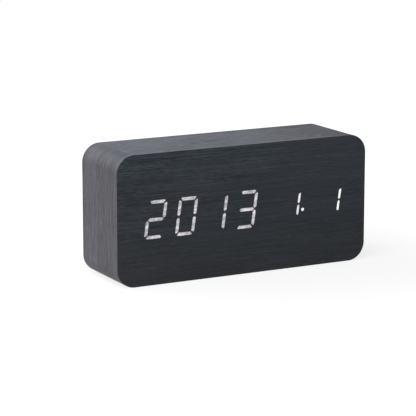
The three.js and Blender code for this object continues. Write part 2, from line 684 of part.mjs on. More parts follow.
function coverHoles() {
  const [front, back] = [COVER_FRONT_Y - CUT, COVER_REAR_Y + CUT];
  const buttons = BUTTON_PLACES.map(({ x }) => (
    rod(BUTTON_RADIUS + BUTTON_CLEARANCE, front, back, KEY_BOARD_X + x, BUTTON_Z)
  ));
  const knob = cuboid(
    span(KEY_BOARD_X - BUTTON_PITCH + SWITCH_TRAVEL / 2, KNOB_WIDTH + SWITCH_TRAVEL + 2 * KNOB_CLEARANCE),
    [front, back], span(LOWER_ROW_Z, KNOB_DEPTH + 2 * KNOB_CLEARANCE),
  );
  const nose = rod(
    SOCKET_NOSE_RADIUS + SOCKET_CLEARANCE, front, back, KEY_BOARD_X + BUTTON_PITCH, LOWER_ROW_Z,
  );
  const slots = Array.from({ length: SLOT_COUNT }, (unused, index) => cuboid(
    span(KEY_BOARD_X + (index - (SLOT_COUNT - 1) / 2) * SLOT_PITCH, SLOT_WIDTH), [front, back],
    span(BUZZER_Z, SLOT_LENGTH),
  ));
  const microphone = rod(MICROPHONE_HOLE_RADIUS, front, back, KEY_BOARD_X, MICROPHONE_Z, SCREW_SIDES);
  const counterbores = COVER_SCREWS.map(([x, z]) => (
    rod(COUNTERBORE_RADIUS, COVER_REAR_Y - COUNTERBORE_DEPTH, back, x, z)
  ));
  const tabs = [0, CELL_COUNT - 1].map((index) => cuboid(
    [BAY_RIGHT - WELD, BAY_RIGHT + BAY_WALL + CUT],
    span(TAB_Y, CONTACT_THICKNESS + 2 * TAB_CLEARANCE), span(cellZ(index), TAB_WIDTH + 2 * TAB_CLEARANCE),
  ));
  const pilots = [
    ...pilotHoles(COVER_SCREWS, front, back),
    ...pilotHoles(KEY_SCREWS, KEY_REAR_Y - CUT, KEY_REAR_Y + KEY_SCREW_LENGTH),
  ];
  return [...buttons, knob, nose, ...slots, microphone, ...counterbores, ...tabs, ...pilots];
}

// A cell along X: its plus end is on the right
function cell() {
  const start = -CELL_LENGTH / 2;
  const end = CELL_LENGTH / 2 - NUB_LENGTH;
  const outline = [
    [0, start], [CELL_RADIUS - CELL_EDGE, start], [CELL_RADIUS, start + CELL_EDGE],
    [CELL_RADIUS, end - CELL_EDGE], [CELL_RADIUS - CELL_EDGE, end], [NUB_RADIUS, end],
    [NUB_RADIUS, end + NUB_LENGTH], [0, end + NUB_LENGTH],
  ];
  const points = outline.map(([x, y]) => new THREE.Vector2(x, y));
  return solid(new THREE.LatheGeometry(points, ROD_SIDES));
}

const plusOnRight = (index) => index % 2 === 0;

function cells() {
  return Array.from({ length: CELL_COUNT }, (unused, index) => {
    const made = part(`battery_${index + 1}`, cell(), FINISHES.cell);
    const shift = SPRING_LENGTH / 2;
    made.position.set(BAY_X + (plusOnRight(index) ? shift : -shift), CELL_Y, cellZ(index));
    made.rotation.z = plusOnRight(index) ? -Math.PI / 2 : Math.PI / 2;
    return made;
  });
}

// The centre line of a coil spring that stands on a contact and narrows towards the cell
class Coil extends THREE.Curve {
  constructor(x, inward, z) {
    super();
    this.base = { x, inward, z };
  }

  getPoint(share, target = new THREE.Vector3()) {
    const { x, inward, z } = this.base;
    const radius = THREE.MathUtils.lerp(SPRING_BASE_RADIUS, SPRING_TIP_RADIUS, share);
    const turn = 2 * Math.PI * SPRING_TURNS * share;
    const low = SPRING_WIRE / 2 - SPRING_SINK;
    const rise = THREE.MathUtils.lerp(low, SPRING_LENGTH - SPRING_WIRE / 2, share);
    return target.set(x + inward * rise, CELL_Y + radius * Math.cos(turn), z + radius * Math.sin(turn));
  }
}

function leastCoilGap(coil) {
  const perTurn = 12;
  const points = coil.getPoints(SPRING_TURNS * perTurn);
  let least = Infinity;
  points.forEach((point, index) => {
    for (const other of points.slice(index + perTurn / 2)) {
      least = Math.min(least, point.distanceTo(other) - SPRING_WIRE);
    }
  });
  return least;
}

function spring(x, inward, z) {
  const section = new THREE.Shape();
  for (let side = 0; side < WIRE_SIDES; side += 1) {
    const angle = 2 * Math.PI * side / WIRE_SIDES;
    const [across, up] = [SPRING_WIRE / 2 * Math.cos(angle), SPRING_WIRE / 2 * Math.sin(angle)];
    if (side === 0) {
      section.moveTo(across, up);
    } else {
      section.lineTo(across, up);
    }
  }
  const coil = new Coil(x, inward, z);
  return solid(new THREE.ExtrudeGeometry(section, { steps: SPRING_TURNS * CURL_STEPS, extrudePath: coil }));
}

console.log("least gap in a battery spring, mm:", leastCoilGap(new Coil(0, 1, 0)).toFixed(2));

const TAB_Y = BAY_FLOOR_Y + TAB_RISE;

// A plate on one end wall of the bay, behind one cell or across two, with a spring at each minus end
function contact(right, indices, withTab = false) {
  const inward = right ? -1 : 1;
  const wall = right ? BAY_RIGHT : BAY_LEFT;
  const face = wall + inward * CONTACT_THICKNESS;
  const heights = indices.map(cellZ);
  const plate = cuboid(
    [Math.min(wall, face), Math.max(wall, face)], span(CELL_Y, CONTACT_HEIGHT),
    [Math.min(...heights) - CONTACT_WIDTH / 2, Math.max(...heights) + CONTACT_WIDTH / 2],
  );
  const springs = indices.filter((index) => plusOnRight(index) !== right)
    .map((index) => spring(face, inward, cellZ(index)));
  const tab = cuboid(
    [BAY_RIGHT - CONTACT_THICKNESS / 2, BAY_RIGHT + BAY_WALL + TAB_LENGTH], span(TAB_Y, CONTACT_THICKNESS),
    span(heights[0], TAB_WIDTH),
  );
  return join([plate, ...springs, ...(withTab ? [tab] : [])]);
}

function lead(index, rise) {
  const start = new THREE.Vector3(BAY_RIGHT + BAY_WALL + TAB_LENGTH + LEAD_GAP, TAB_Y, cellZ(index));
  const end = new THREE.Vector3(KEY_BOARD_X + LEAD_BOARD_X, KEY_FRONT_Y - LEAD_GAP, rise);
  const bend = start.clone().lerp(end, LEAD_BEND);
  bend.y = Math.min(start.y, end.y) - LEAD_BOW;
  const route = new THREE.CatmullRomCurve3([
    start, start.clone().add(new THREE.Vector3(2 * LEAD_RADIUS, 0, 0)), bend,
    end.clone().sub(new THREE.Vector3(0, 2 * LEAD_RADIUS, 0)), end,
  ]);
  const section = new THREE.Shape();
  section.absarc(0, 0, LEAD_RADIUS, 0, 2 * Math.PI);
  return solid(new THREE.ExtrudeGeometry(
    section, { steps: 2 * CURL_STEPS, curveSegments: ARC_STEPS, extrudePath: route },
  ));
}

function powerParts() {
  return group("power", [
    part("battery_door", batteryDoor().translate([BAY_X, 0, 0]), FINISHES.cover),
    ...cells(),
    part("contact_plus", contact(true, [0], true), FINISHES.tin),
    part("contact_minus", contact(true, [CELL_COUNT - 1], true), FINISHES.tin),
    part("link_1_2", contact(false, [0, 1]), FINISHES.tin),
    part("link_2_3", contact(true, [1, 2]), FINISHES.tin),
    part("link_3_4", contact(false, [2, 3]), FINISHES.tin),
    part("red_lead", lead(0, LEAD_RISE), FINISHES.redLead),
    part("black_lead", lead(CELL_COUNT - 1, -LEAD_RISE), FINISHES.blackLead),
  ]);
}

const BUTTON_PLACES = [
  { name: "set", x: -BUTTON_PITCH }, { name: "up", x: 0 }, { name: "down", x: BUTTON_PITCH },
];

// The pieces of the key board stand on its rear face at y = 0
function buttonParts({ name, x }) {
  const flangeFront = FLANGE_FRONT_Y - KEY_REAR_Y;
  const capRear = COVER_REAR_Y + BUTTON_PROUD - KEY_REAR_Y;
  const cap = rod(BUTTON_RADIUS, flangeFront, capRear);
  const flange = rod(FLANGE_RADIUS, flangeFront, flangeFront + FLANGE_THICKNESS);
  const plunger = rod(PLUNGER_RADIUS, flangeFront - PLUNGER_LENGTH, flangeFront);
  const body = cuboid(span(0, KEY_SWITCH_SIZE), [0, KEY_SWITCH_HEIGHT], span(0, KEY_SWITCH_SIZE));
  const boreFloor = flangeFront - PLUNGER_LENGTH - 2 * BUTTON_TRAVEL;
  const bore = rod(PLUNGER_RADIUS + BUTTON_CLEARANCE, boreFloor, KEY_SWITCH_HEIGHT + CUT);
  return group(`${name}_key`, [
    part(`${name}_button`, join([cap, flange]), FINISHES.key),
    part(`${name}_plunger`, plunger, FINISHES.chip),
    part(`${name}_key_switch`, body.subtract(bore), FINISHES.chip),
  ], x, 0, BUTTON_Z);
}

// The knob starts at the left end of its slot and slides to the right
function soundSwitchParts() {
  const middle = SWITCH_TRAVEL / 2;
  const tray = cuboid(span(middle, SWITCH_WIDTH), [0, SWITCH_HEIGHT], span(0, SWITCH_DEPTH));
  const hollow = cuboid(
    span(middle, KNOB_FOOT + SWITCH_TRAVEL + 2 * KNOB_CLEARANCE), [SWITCH_FLOOR, SWITCH_HEIGHT + CUT],
    span(0, KNOB_FOOT + 2 * KNOB_CLEARANCE),
  );
  const foot = cuboid(
    span(0, KNOB_FOOT), [SWITCH_FLOOR + KNOB_CLEARANCE, SWITCH_HEIGHT + KNOB_CLEARANCE], span(0, KNOB_FOOT),
  );
  const flangeRear = COVER_FRONT_Y - FLANGE_GAP - KEY_REAR_Y;
  const flange = cuboid(
    span(0, KNOB_FLANGE_WIDTH), [flangeRear - KNOB_FLANGE_THICKNESS, flangeRear],
    span(0, KNOB_FLANGE_DEPTH),
  );
  const stem = cuboid(
    span(0, KNOB_WIDTH), [SWITCH_FLOOR + KNOB_CLEARANCE, COVER_REAR_Y + KNOB_PROUD - KEY_REAR_Y],
    span(0, KNOB_DEPTH),
  );
  return group("sound_switch", [
    part("sound_switch_body", tray.subtract(hollow), FINISHES.steel),
    part("sound_switch_knob", join([foot, flange, stem]), FINISHES.key),
  ], -BUTTON_PITCH, 0, LOWER_ROW_Z);
}

function powerSocket() {
  const mouth = COVER_REAR_Y - KEY_REAR_Y;
  const floor = mouth - SOCKET_BORE_DEPTH;
  const body = cuboid(span(0, SOCKET_BODY), [0, SOCKET_BODY_HEIGHT], span(0, SOCKET_BODY));
  const nose = rod(SOCKET_NOSE_RADIUS, SOCKET_BODY_HEIGHT - WELD, mouth, 0, 0, SCREW_SIDES);
  const bore = rod(SOCKET_BORE_RADIUS, floor, mouth + CUT, 0, 0, SCREW_SIDES);
  const pin = rod(SOCKET_PIN_RADIUS, floor - WELD, mouth - SOCKET_PIN_RECESS, 0, 0, SCREW_SIDES);
  const made = part("power_socket", join([cut(join([body, nose]), [bore]), pin]), FINISHES.chip);
  made.position.set(BUTTON_PITCH, 0, LOWER_ROW_Z);
  return made;
}

function keyBoard() {
  const plate = slab(roundedRect(KEY_BOARD_WIDTH, KEY_BOARD_HEIGHT, KEY_BOARD_CORNER), -BOARD_THICKNESS, 0);
  const places = KEY_SCREWS.map(([x, z]) => [x - KEY_BOARD_X, z]);
  return cut(plate, pilotHoles(places, -BOARD_THICKNESS - CUT, CUT));
}

function keyBoardParts() {
  const buzzer = rod(BUZZER_RADIUS, 0, BUZZER_HEIGHT, 0, BUZZER_Z)
    .subtract(rod(BUZZER_HOLE_RADIUS, BUZZER_HEIGHT / 2, BUZZER_HEIGHT + CUT, 0, BUZZER_Z, SCREW_SIDES));
  const microphone = rod(MICROPHONE_RADIUS, 0, MICROPHONE_HEIGHT, 0, MICROPHONE_Z);
  const socket = part("key_socket", ribbonSocket(), FINISHES.socket);
  socket.position.set(RIBBON_BOARD_X, -BOARD_THICKNESS, 0);
  socket.rotation.z = Math.PI;
  return group("controls", [
    part("key_board", keyBoard(), FINISHES.board),
    ...BUTTON_PLACES.map(buttonParts),
    soundSwitchParts(),
    powerSocket(),
    part("buzzer", buzzer, FINISHES.chip),
    part("microphone", microphone, FINISHES.steel),
    socket,
  ], KEY_BOARD_X, KEY_REAR_Y, 0);
}

function rearParts() {
  return group("rear", [
    part("rear_cover", rearCover(), FINISHES.cover),
    ...screws("cover_screw", COVER_SCREW_LENGTH, COVER_SCREWS, COVER_REAR_Y - COUNTERBORE_DEPTH),
    ...screws("key_board_screw", KEY_SCREW_LENGTH, KEY_SCREWS, KEY_FRONT_Y, Math.PI),
    part("ribbon_cable", ribbon(), FINISHES.ribbon),
    keyBoardParts(),
    powerParts(),
  ]);
}

const inside = group("clock_parts", [caseParts(), mainBoardParts(), rearParts()], 0, 0, CASE_HEIGHT / 2);

export default group("digital_clock", [inside]);
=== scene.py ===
"""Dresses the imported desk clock: wood-grain film, glowing digits, a moulded back and a plain studio."""

import json
import logging
import math
from abc import ABC, abstractmethod
from collections.abc import Callable, Sequence
from dataclasses import dataclass, replace
from enum import Enum
from functools import cache, reduce

import bmesh
import bpy
from bmesh.types import BMEdge, BMFace, BMVert
from bpy.types import Material, Node, NodeSocket, NodeTree, Object
from mathutils import Matrix, Vector


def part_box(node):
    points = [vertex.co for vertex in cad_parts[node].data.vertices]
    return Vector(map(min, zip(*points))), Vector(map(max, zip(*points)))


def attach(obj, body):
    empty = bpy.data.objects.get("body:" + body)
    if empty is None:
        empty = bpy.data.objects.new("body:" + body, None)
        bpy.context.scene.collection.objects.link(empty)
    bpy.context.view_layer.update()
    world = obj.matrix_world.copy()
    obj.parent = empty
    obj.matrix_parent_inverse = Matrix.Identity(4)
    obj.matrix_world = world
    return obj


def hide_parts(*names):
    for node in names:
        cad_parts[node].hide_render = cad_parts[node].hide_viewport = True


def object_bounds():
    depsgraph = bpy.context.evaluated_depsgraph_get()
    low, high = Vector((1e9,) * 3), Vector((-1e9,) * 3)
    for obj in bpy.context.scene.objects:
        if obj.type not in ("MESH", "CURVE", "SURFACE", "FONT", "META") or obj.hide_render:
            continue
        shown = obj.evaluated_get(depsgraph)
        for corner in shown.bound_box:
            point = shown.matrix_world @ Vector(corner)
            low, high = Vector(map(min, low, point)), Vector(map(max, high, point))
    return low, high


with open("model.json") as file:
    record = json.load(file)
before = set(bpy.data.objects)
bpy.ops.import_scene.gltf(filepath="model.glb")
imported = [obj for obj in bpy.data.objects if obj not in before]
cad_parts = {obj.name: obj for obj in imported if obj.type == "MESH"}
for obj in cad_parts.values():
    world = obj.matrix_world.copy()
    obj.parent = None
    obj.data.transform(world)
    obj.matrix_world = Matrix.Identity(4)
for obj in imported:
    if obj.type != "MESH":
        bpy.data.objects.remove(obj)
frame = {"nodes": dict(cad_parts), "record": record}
CAD_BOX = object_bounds()

LOG = logging.getLogger("desk_clock")
Colour = tuple[float, float, float]
Span = tuple[float, float]

# Shapes are in millimetres. Patterns, lamps and the table are in metres.
MM = 0.001
# Points closer than this are one.
WELD = 0.0005
# Faces that meet at less than the first angle are one, and at more than the second have a sharp edge.
FLAT_ANGLE = math.radians(1)
SHARP_ANGLE = math.radians(30)
# The normal of a face that faces the front has less than this along Y.
FRONT_FACING = -0.9
EIGHTH_TURN = math.pi / 4
QUARTER_TURN = math.pi / 2
HALF_TURN = math.pi
FULL_TURN = 2 * math.pi
TRIANGLE = 3
SQUARE = 4
CORNER_STEPS = 20
ROUND_STEPS = 48

# Places of other finishes in a piece's list.
SECOND = 1
THIRD = 2
# Places of the colour sockets of a Mix node.
MIX_FIRST = 6
MIX_SECOND = 7
MIX_RESULT = 2

WRAP_ATTRIBUTE = "wrap_grain"
CORNER_SHADE_ATTRIBUTE = "corner_shade"
CORE_ATTRIBUTE = "core"
PLAIN = (1.0, 1.0, 1.0)
WHOLE = (0.0, 1.0)
HALF = 0.5
# Most of a noise pattern lies between the first two, and its middle between the others.
MOST_NOISE = (0.3, 0.7)
SOFT_SPAN = (0.35, 0.65)


class Body(Enum):
    """The bodies that pieces ride on."""

    CASE = "case"
    SET_KEY = "set_key"
    UP_KEY = "up_key"
    DOWN_KEY = "down_key"
    SOUND_KNOB = "sound_knob"
    DOOR = "door"


KEYS = {"set": Body.SET_KEY, "up": Body.UP_KEY, "down": Body.DOWN_KEY}


class Slot(Enum):
    """The finishes that the record names."""

    FILM = "film"
    FIBREBOARD = "fibreboard"
    COVER = "cover"
    KEY = "key"
    HOUSING = "housing"
    RESIN = "resin"
    BOARD = "board"
    CHIP = "chip"
    SOCKET = "socket"
    STEEL = "steel"
    TIN = "tin"
    CELL = "cell"
    RIBBON = "ribbon"
    RED_LEAD = "red_lead"
    BLACK_LEAD = "black_lead"


class Axis(Enum):
    """The axes, by the names of their sockets."""

    X = "X"
    Y = "Y"
    Z = "Z"


class GrainPath(Enum):
    """How the grain of a film runs."""

    LEVEL = "along the width of the clock"
    WRAPPED = "round the block, by an attribute"


class Ray(Enum):
    """Rays that show the surroundings, by the names of their sockets."""

    CAMERA = "Is Camera Ray"
    GLOSSY = "Is Glossy Ray"
    TRANSMISSION = "Is Transmission Ray"


class Joining(Enum):
    """What one closed shape does to another, by the names of the boolean operations."""

    ADDED = "UNION"
    CUT_OUT = "DIFFERENCE"


class Graph:
    """A node tree, with short ways to add the nodes that finishes share."""

    def __init__(self, tree: NodeTree) -> None:
        """Takes over a tree, with its principled shader if it has one."""
        self.tree = tree
        self.shader = tree.nodes.get("Principled BSDF")

    def add(self, kind: str, inputs: dict[str | int, object], **settings: object) -> Node:
        """Adds a node.

        Args:
            kind: Blender's name of the node type.
            inputs: Values by socket; a socket as a value is linked, anything else is set.
            settings: Properties of the node.

        Returns:
            The new node.
        """
        node = self.tree.nodes.new(kind)
        for name, value in settings.items():
            setattr(node, name, value)
        for socket, value in inputs.items():
            if isinstance(value, NodeSocket):
                self.tree.links.new(value, node.inputs[socket])
            else:
                node.inputs[socket].default_value = value
        return node

    def fix(self, **values: object) -> None:
        """Sets constants on the shader's own sockets, spaces in their names written as underscores."""
        for name, value in values.items():
            self.shader.inputs[name.replace("_", " ")].default_value = value

    def feed(self, socket: str, source: NodeSocket) -> None:
        """Links a source to one of the shader's sockets."""
        self.tree.links.new(source, self.shader.inputs[socket])

    def colour(self, share: NodeSocket, first: object, second: object) -> None:
        """Gives the shader a base colour between two, by the share of the second."""
        self.feed("Base Color", self.mix(share, first, second))

    def rough(self, pattern: NodeSocket, roughness: Span) -> None:
        """Gives the shader a roughness that follows a noise pattern."""
        self.feed("Roughness", self.ease(pattern, MOST_NOISE, roughness))

    def emboss(self, height: NodeSocket, depth: float) -> None:
        """Raises the surface by a pattern, to a depth in metres."""
        bump = self.add("ShaderNodeBump", {"Height": height, "Distance": depth, "Strength": 1.0})
        self.feed("Normal", bump.outputs["Normal"])

    def show(self, shader: NodeSocket, output: str) -> None:
        """Links a shader of its own to the tree's output node."""
        self.tree.links.new(shader, self.tree.nodes[output].inputs["Surface"])

    def choose(self, share: NodeSocket, first: NodeSocket, second: NodeSocket) -> NodeSocket:
        """Mixes two shaders by the share of the second."""
        return self.add("ShaderNodeMixShader", {0: share, 1: first, 2: second}).outputs[0]

    def rays(self, *kinds: Ray) -> NodeSocket:
        """Gives one for rays of some kinds, and zero for others."""
        outputs = self.add("ShaderNodeLightPath", {}).outputs
        return self.gather("MAXIMUM", [outputs[kind.value] for kind in kinds])

    def place(self, path: GrainPath = GrainPath.LEVEL) -> NodeSocket:
        """Gives the coordinates that a pattern follows.

        Args:
            path: How the pattern runs.

        Returns:
            Object coordinates, or those of the wrap attribute.
        """
        if path is GrainPath.WRAPPED:
            return self.attribute(WRAP_ATTRIBUTE).outputs["Vector"]
        return self.add("ShaderNodeTexCoord", {}).outputs["Object"]

    def attribute(self, name: str) -> Node:
        """Adds a node that reads an attribute of the mesh."""
        return self.add("ShaderNodeAttribute", {}, attribute_name=name)

    def noise(
        self, place: NodeSocket, scale: float | Sequence[float], detail: float = 2.0, fade: float = 0.5,
        warp: float = 0.0,
    ) -> NodeSocket:
        """Adds a noise pattern.

        Args:
            place: Coordinates in metres.
            scale: Spots per metre, along all axes or along each.
            detail: Number of finer layers.
            fade: Strength of each finer layer.
            warp: How far the pattern is bent by itself.

        Returns:
            The pattern, about 0.5 on average.
        """
        scales = (scale,) * 3 if isinstance(scale, float) else scale
        stretched = self.add("ShaderNodeMapping", {"Vector": place, "Scale": scales}).outputs["Vector"]
        inputs = {"Vector": stretched, "Scale": 1.0}
        inputs |= {"Detail": detail, "Roughness": fade, "Distortion": warp}
        return self.add("ShaderNodeTexNoise", inputs).outputs["Fac"]

    def math(self, operation: str, first: object, second: object) -> NodeSocket:
        """Adds a sum, product or other operation on two numbers or sockets."""
        return self.add("ShaderNodeMath", {0: first, 1: second}, operation=operation).outputs[0]

    def gather(self, operation: str, sockets: Sequence[NodeSocket]) -> NodeSocket:
        """Takes sockets together by one operation, from the first to the last."""
        return reduce(lambda first, second: self.math(operation, first, second), sockets)

    def blend(self, first: NodeSocket, second: NodeSocket, share: float) -> NodeSocket:
        """Adds up a share of the first pattern and the rest of the second."""
        parts = (self.math("MULTIPLY", first, share), self.math("MULTIPLY", second, 1.0 - share))
        return self.gather("ADD", parts)

    def ease(self, value: NodeSocket, span: Span = WHOLE, result: Span = WHOLE) -> NodeSocket:
        """Maps a span of values smoothly to another.

        Args:
            value: The value to map.
            span: The values that give the start and the end of the result.
            result: Start and end of the result.

        Returns:
            The mapped value.
        """
        inputs = {"Value": value}
        inputs |= {"From Min": span[0], "From Max": span[1], "To Min": result[0], "To Max": result[1]}
        return self.add("ShaderNodeMapRange", inputs, interpolation_type="SMOOTHSTEP").outputs["Result"]

    def mix(self, share: object, first: object, second: object, blending: str = "MIX") -> NodeSocket:
        """Mixes two colours or sockets by the share of the second."""
        inputs = {"Factor": share, MIX_FIRST: opaque(first), MIX_SECOND: opaque(second)}
        return self.add("ShaderNodeMix", inputs, data_type="RGBA", blend_type=blending).outputs[MIX_RESULT]

    def tint(self, first: NodeSocket, second: NodeSocket) -> NodeSocket:
        """Multiplies two colours."""
        return self.mix(1.0, first, second, "MULTIPLY")


def opaque(colour: object) -> object:
    """Adds an alpha of one to a colour, and passes a socket on."""
    return colour if isinstance(colour, NodeSocket) else (*colour, 1.0)


def dimmed(colour: Colour, share: float) -> Colour:
    """Gives a share of a colour's brightness."""
    return tuple(channel * share for channel in colour)


@dataclass(frozen=True)
class Grain:
    """Streaks of a fine straight wood grain, in spots per metre along and across."""

    pores: Span = (150.0, 1700.0)
    streaks: Span = (34.0, 1200.0)
    bands: Span = (7.0, 60.0)
    patches: Span = (24.0, 110.0)
    pore_share: float = 0.48
    streak_span: Span = (0.36, 0.68)
    patch_span: Span = SOFT_SPAN
    warp: float = 0.06

    def draw(self, graph: Graph, path: GrainPath) -> tuple[NodeSocket, NodeSocket, NodeSocket]:
        """Draws the grain.

        Args:
            graph: Tree that gets the nodes.
            path: How the grain runs.

        Returns:
            The fine streaks, the broad bands and the patches of livelier grain, each from 0 to 1.
        """
        place = graph.place(path)
        pores = graph.noise(place, self.axes(self.pores), fade=0.6)
        streaks = graph.noise(place, self.axes(self.streaks), detail=3.0, fade=0.62, warp=self.warp)
        bands = graph.ease(graph.noise(place, self.axes(self.bands)), MOST_NOISE)
        patches = graph.ease(graph.noise(place, self.axes(self.patches)), self.patch_span)
        both = graph.blend(pores, streaks, self.pore_share)
        return graph.ease(both, self.streak_span), bands, patches

    @staticmethod
    def axes(spots: Span) -> tuple[float, float, float]:
        """Gives a scale for each axis: the first runs along the grain."""
        return (spots[0], spots[1], spots[1])


@dataclass(frozen=True)
class Drift:
    """A slow change across a film, from 0 to 1 along one axis of its coordinates, in metres."""

    axis: Axis
    span: Span

    def draw(self, graph: Graph, path: GrainPath = GrainPath.LEVEL) -> NodeSocket:
        """Draws the change, as a share from 0 to 1."""
        parts = graph.add("ShaderNodeSeparateXYZ", {"Vector": graph.place(path)})
        return graph.ease(parts.outputs[self.axis.value], self.span)


@dataclass(frozen=True)
class Cloud:
    """A random change from 0 to 1, in spots per metre: more detail gives it finer layers."""

    scale: float
    detail: float = 2.0
    span: Span = MOST_NOISE

    def draw(self, graph: Graph, path: GrainPath = GrainPath.LEVEL) -> NodeSocket:
        """Draws the change, as a share from 0 to 1."""
        return graph.ease(graph.noise(graph.place(path), self.scale, self.detail), self.span)


@dataclass(frozen=True)
class PaintedCornerShade:
    """Painted shade over the upper corners of a film, from 0 to 1, by an attribute of its mesh."""

    def draw(self, graph: Graph, path: GrainPath) -> NodeSocket:
        """Reads the painted corner shade; it doesn't depend on how the grain runs."""
        return graph.attribute(CORNER_SHADE_ATTRIBUTE).outputs["Fac"]


@dataclass(frozen=True)
class Meeting:
    """A place on a film where several slow changes meet: their product, from 0 to 1."""

    drifts: tuple[Drift, ...]

    def draw(self, graph: Graph, path: GrainPath) -> NodeSocket:
        """Draws the product of the changes."""
        return graph.gather("MULTIPLY", [drift.draw(graph, path) for drift in self.drifts])


Change = Drift | Cloud | PaintedCornerShade | Meeting


@dataclass(frozen=True)
class Tone:
    """A tint of a film that changes from one place to another."""

    change: Change
    start: Colour
    end: Colour

    def draw(self, graph: Graph, path: GrainPath) -> NodeSocket:
        """Draws the tint, as a colour."""
        return graph.mix(self.change.draw(graph, path), self.start, self.end)


@dataclass(frozen=True)
class Fade:
    """A number of a film that changes from one place to another."""

    change: Change
    start: float
    end: float

    def draw(self, graph: Graph, path: GrainPath) -> NodeSocket:
        """Draws the number."""
        return graph.ease(self.change.draw(graph, path), WHOLE, (self.start, self.end))


@dataclass(frozen=True)
class Finish(ABC):
    """What the finishes have in common: a name, and a material that is made once."""

    name: str

    @cache
    def make(self) -> Material:
        """Makes the material when a piece first asks for it.

        Returns:
            The material.
        """
        material = bpy.data.materials.new(self.name)
        material.use_nodes = True
        self.draw(Graph(material.node_tree))
        return material

    @abstractmethod
    def draw(self, graph: Graph) -> None:
        """Draws the finish into a material's tree; each kind of finish has its own way."""


@dataclass(frozen=True)
class GrainFilm(Finish):
    """Matt black film with a printed and embossed wood grain."""

    path: GrainPath
    dark: Colour
    light: Colour
    tones: tuple[Tone, ...]
    contrasts: tuple[Fade, ...]
    roughness: Span
    dulling: Fade | None = None
    liveliness: Span = (0.7, 1.3)
    band_depth: float = 0.05
    specular: float = 0.15
    depth: float = 0.00002
    grain: Grain = Grain()

    def draw(self, graph: Graph) -> None:
        """Draws the grain, the tones of the film, among them its painted light and shade, and its sheen.

        Args:
            graph: Tree that gets the nodes.
        """
        streaks, bands, patches = self.grain.draw(graph, self.path)
        contrasts = [contrast.draw(graph, self.path) for contrast in self.contrasts]
        lively = graph.gather("MULTIPLY", [graph.ease(patches, WHOLE, self.liveliness), *contrasts])
        swing = graph.math("MULTIPLY", graph.math("SUBTRACT", streaks, HALF), lively)
        colour = graph.mix(graph.math("ADD", swing, HALF), self.dark, self.light)
        for tone in self.tones:
            colour = graph.tint(colour, tone.draw(graph, self.path))
        band_tone = graph.ease(bands, WHOLE, (1.0 - self.band_depth, 1.0 + self.band_depth))
        graph.feed("Base Color", graph.tint(colour, band_tone))
        roughness = graph.ease(streaks, WHOLE, self.roughness)
        if self.dulling:
            roughness = graph.math("ADD", roughness, self.dulling.draw(graph, self.path))
        graph.feed("Roughness", roughness)
        graph.fix(Specular_IOR_Level=self.specular)
        graph.emboss(streaks, self.depth)


@dataclass(frozen=True)
class GlowingFilm(Finish):
    """Film that a lit segment shines through: brightest in its middle, with the grain as darker streaks."""

    tint_low: Colour
    tint_high: Colour
    tint: Drift | Cloud
    strength: Span
    base: Colour = (0.05, 0.052, 0.058)
    band_share: float = 0.7
    spots: Cloud = Cloud(700.0)
    spot_share: float = 0.35
    roughness: float = 0.5
    specular: float = 0.15
    grain: Grain = Grain((320.0, 1100.0), (70.0, 720.0), pore_share=0.45, warp=0.15)

    def draw(self, graph: Graph) -> None:
        """Draws the light, its tint and the film in front of it.

        Args:
            graph: Tree that gets the nodes.
        """
        streaks, bands, _ = self.grain.draw(graph, GrainPath.LEVEL)
        spotted = graph.blend(self.spots.draw(graph), streaks, self.spot_share)
        veil = graph.ease(spotted, WHOLE, self.strength)
        core = graph.ease(graph.attribute(CORE_ATTRIBUTE).outputs["Fac"])
        graph.feed("Emission Strength", graph.math("MULTIPLY", core, veil))
        graph.feed("Emission Color", graph.mix(self.tint.draw(graph), self.tint_low, self.tint_high))
        graph.colour(bands, dimmed(self.base, self.band_share), self.base)
        graph.fix(Roughness=self.roughness, Specular_IOR_Level=self.specular)


@dataclass(frozen=True)
class MouldedPlastic(Finish):
    """Moulded plastic with the fine texture of its mould."""

    colour: Colour
    roughness: Span = (0.46, 0.60)
    texture: float = 1700.0
    depth: float = 0.00002
    tone: float = 0.18
    clouds: Cloud = Cloud(45.0, detail=3.0)
    bloom: float = 0.002
    specular: float = 0.4

    def draw(self, graph: Graph) -> None:
        """Draws the texture and the cloudy tone.

        Args:
            graph: Tree that gets the nodes.
        """
        fine = graph.noise(graph.place(), self.texture, fade=0.6)
        worn = tuple(min(1.0, channel * (1.0 + self.tone) + self.bloom) for channel in self.colour)
        graph.colour(self.clouds.draw(graph), dimmed(self.colour, 1.0 - self.tone), worn)
        graph.rough(fine, self.roughness)
        graph.fix(Specular_IOR_Level=self.specular)
        graph.emboss(fine, self.depth)


@dataclass(frozen=True)
class PlatedMetal(Finish):
    """Plated steel with fine tool marks."""

    colour: Colour
    roughness: Span = (0.24, 0.42)
    marks: tuple[float, float, float] = (400.0, 400.0, 4000.0)
    depth: float = 0.000004
    haze: Cloud = Cloud(180.0, span=SOFT_SPAN)
    haze_share: float = 0.8

    def draw(self, graph: Graph) -> None:
        """Draws the marks and the haze of the plating.

        Args:
            graph: Tree that gets the nodes.
        """
        marks = graph.noise(graph.place(), self.marks, detail=3.0, fade=0.6)
        graph.colour(self.haze.draw(graph), dimmed(self.colour, self.haze_share), self.colour)
        graph.rough(marks, self.roughness)
        graph.fix(Metallic=1.0)
        graph.emboss(marks, self.depth)


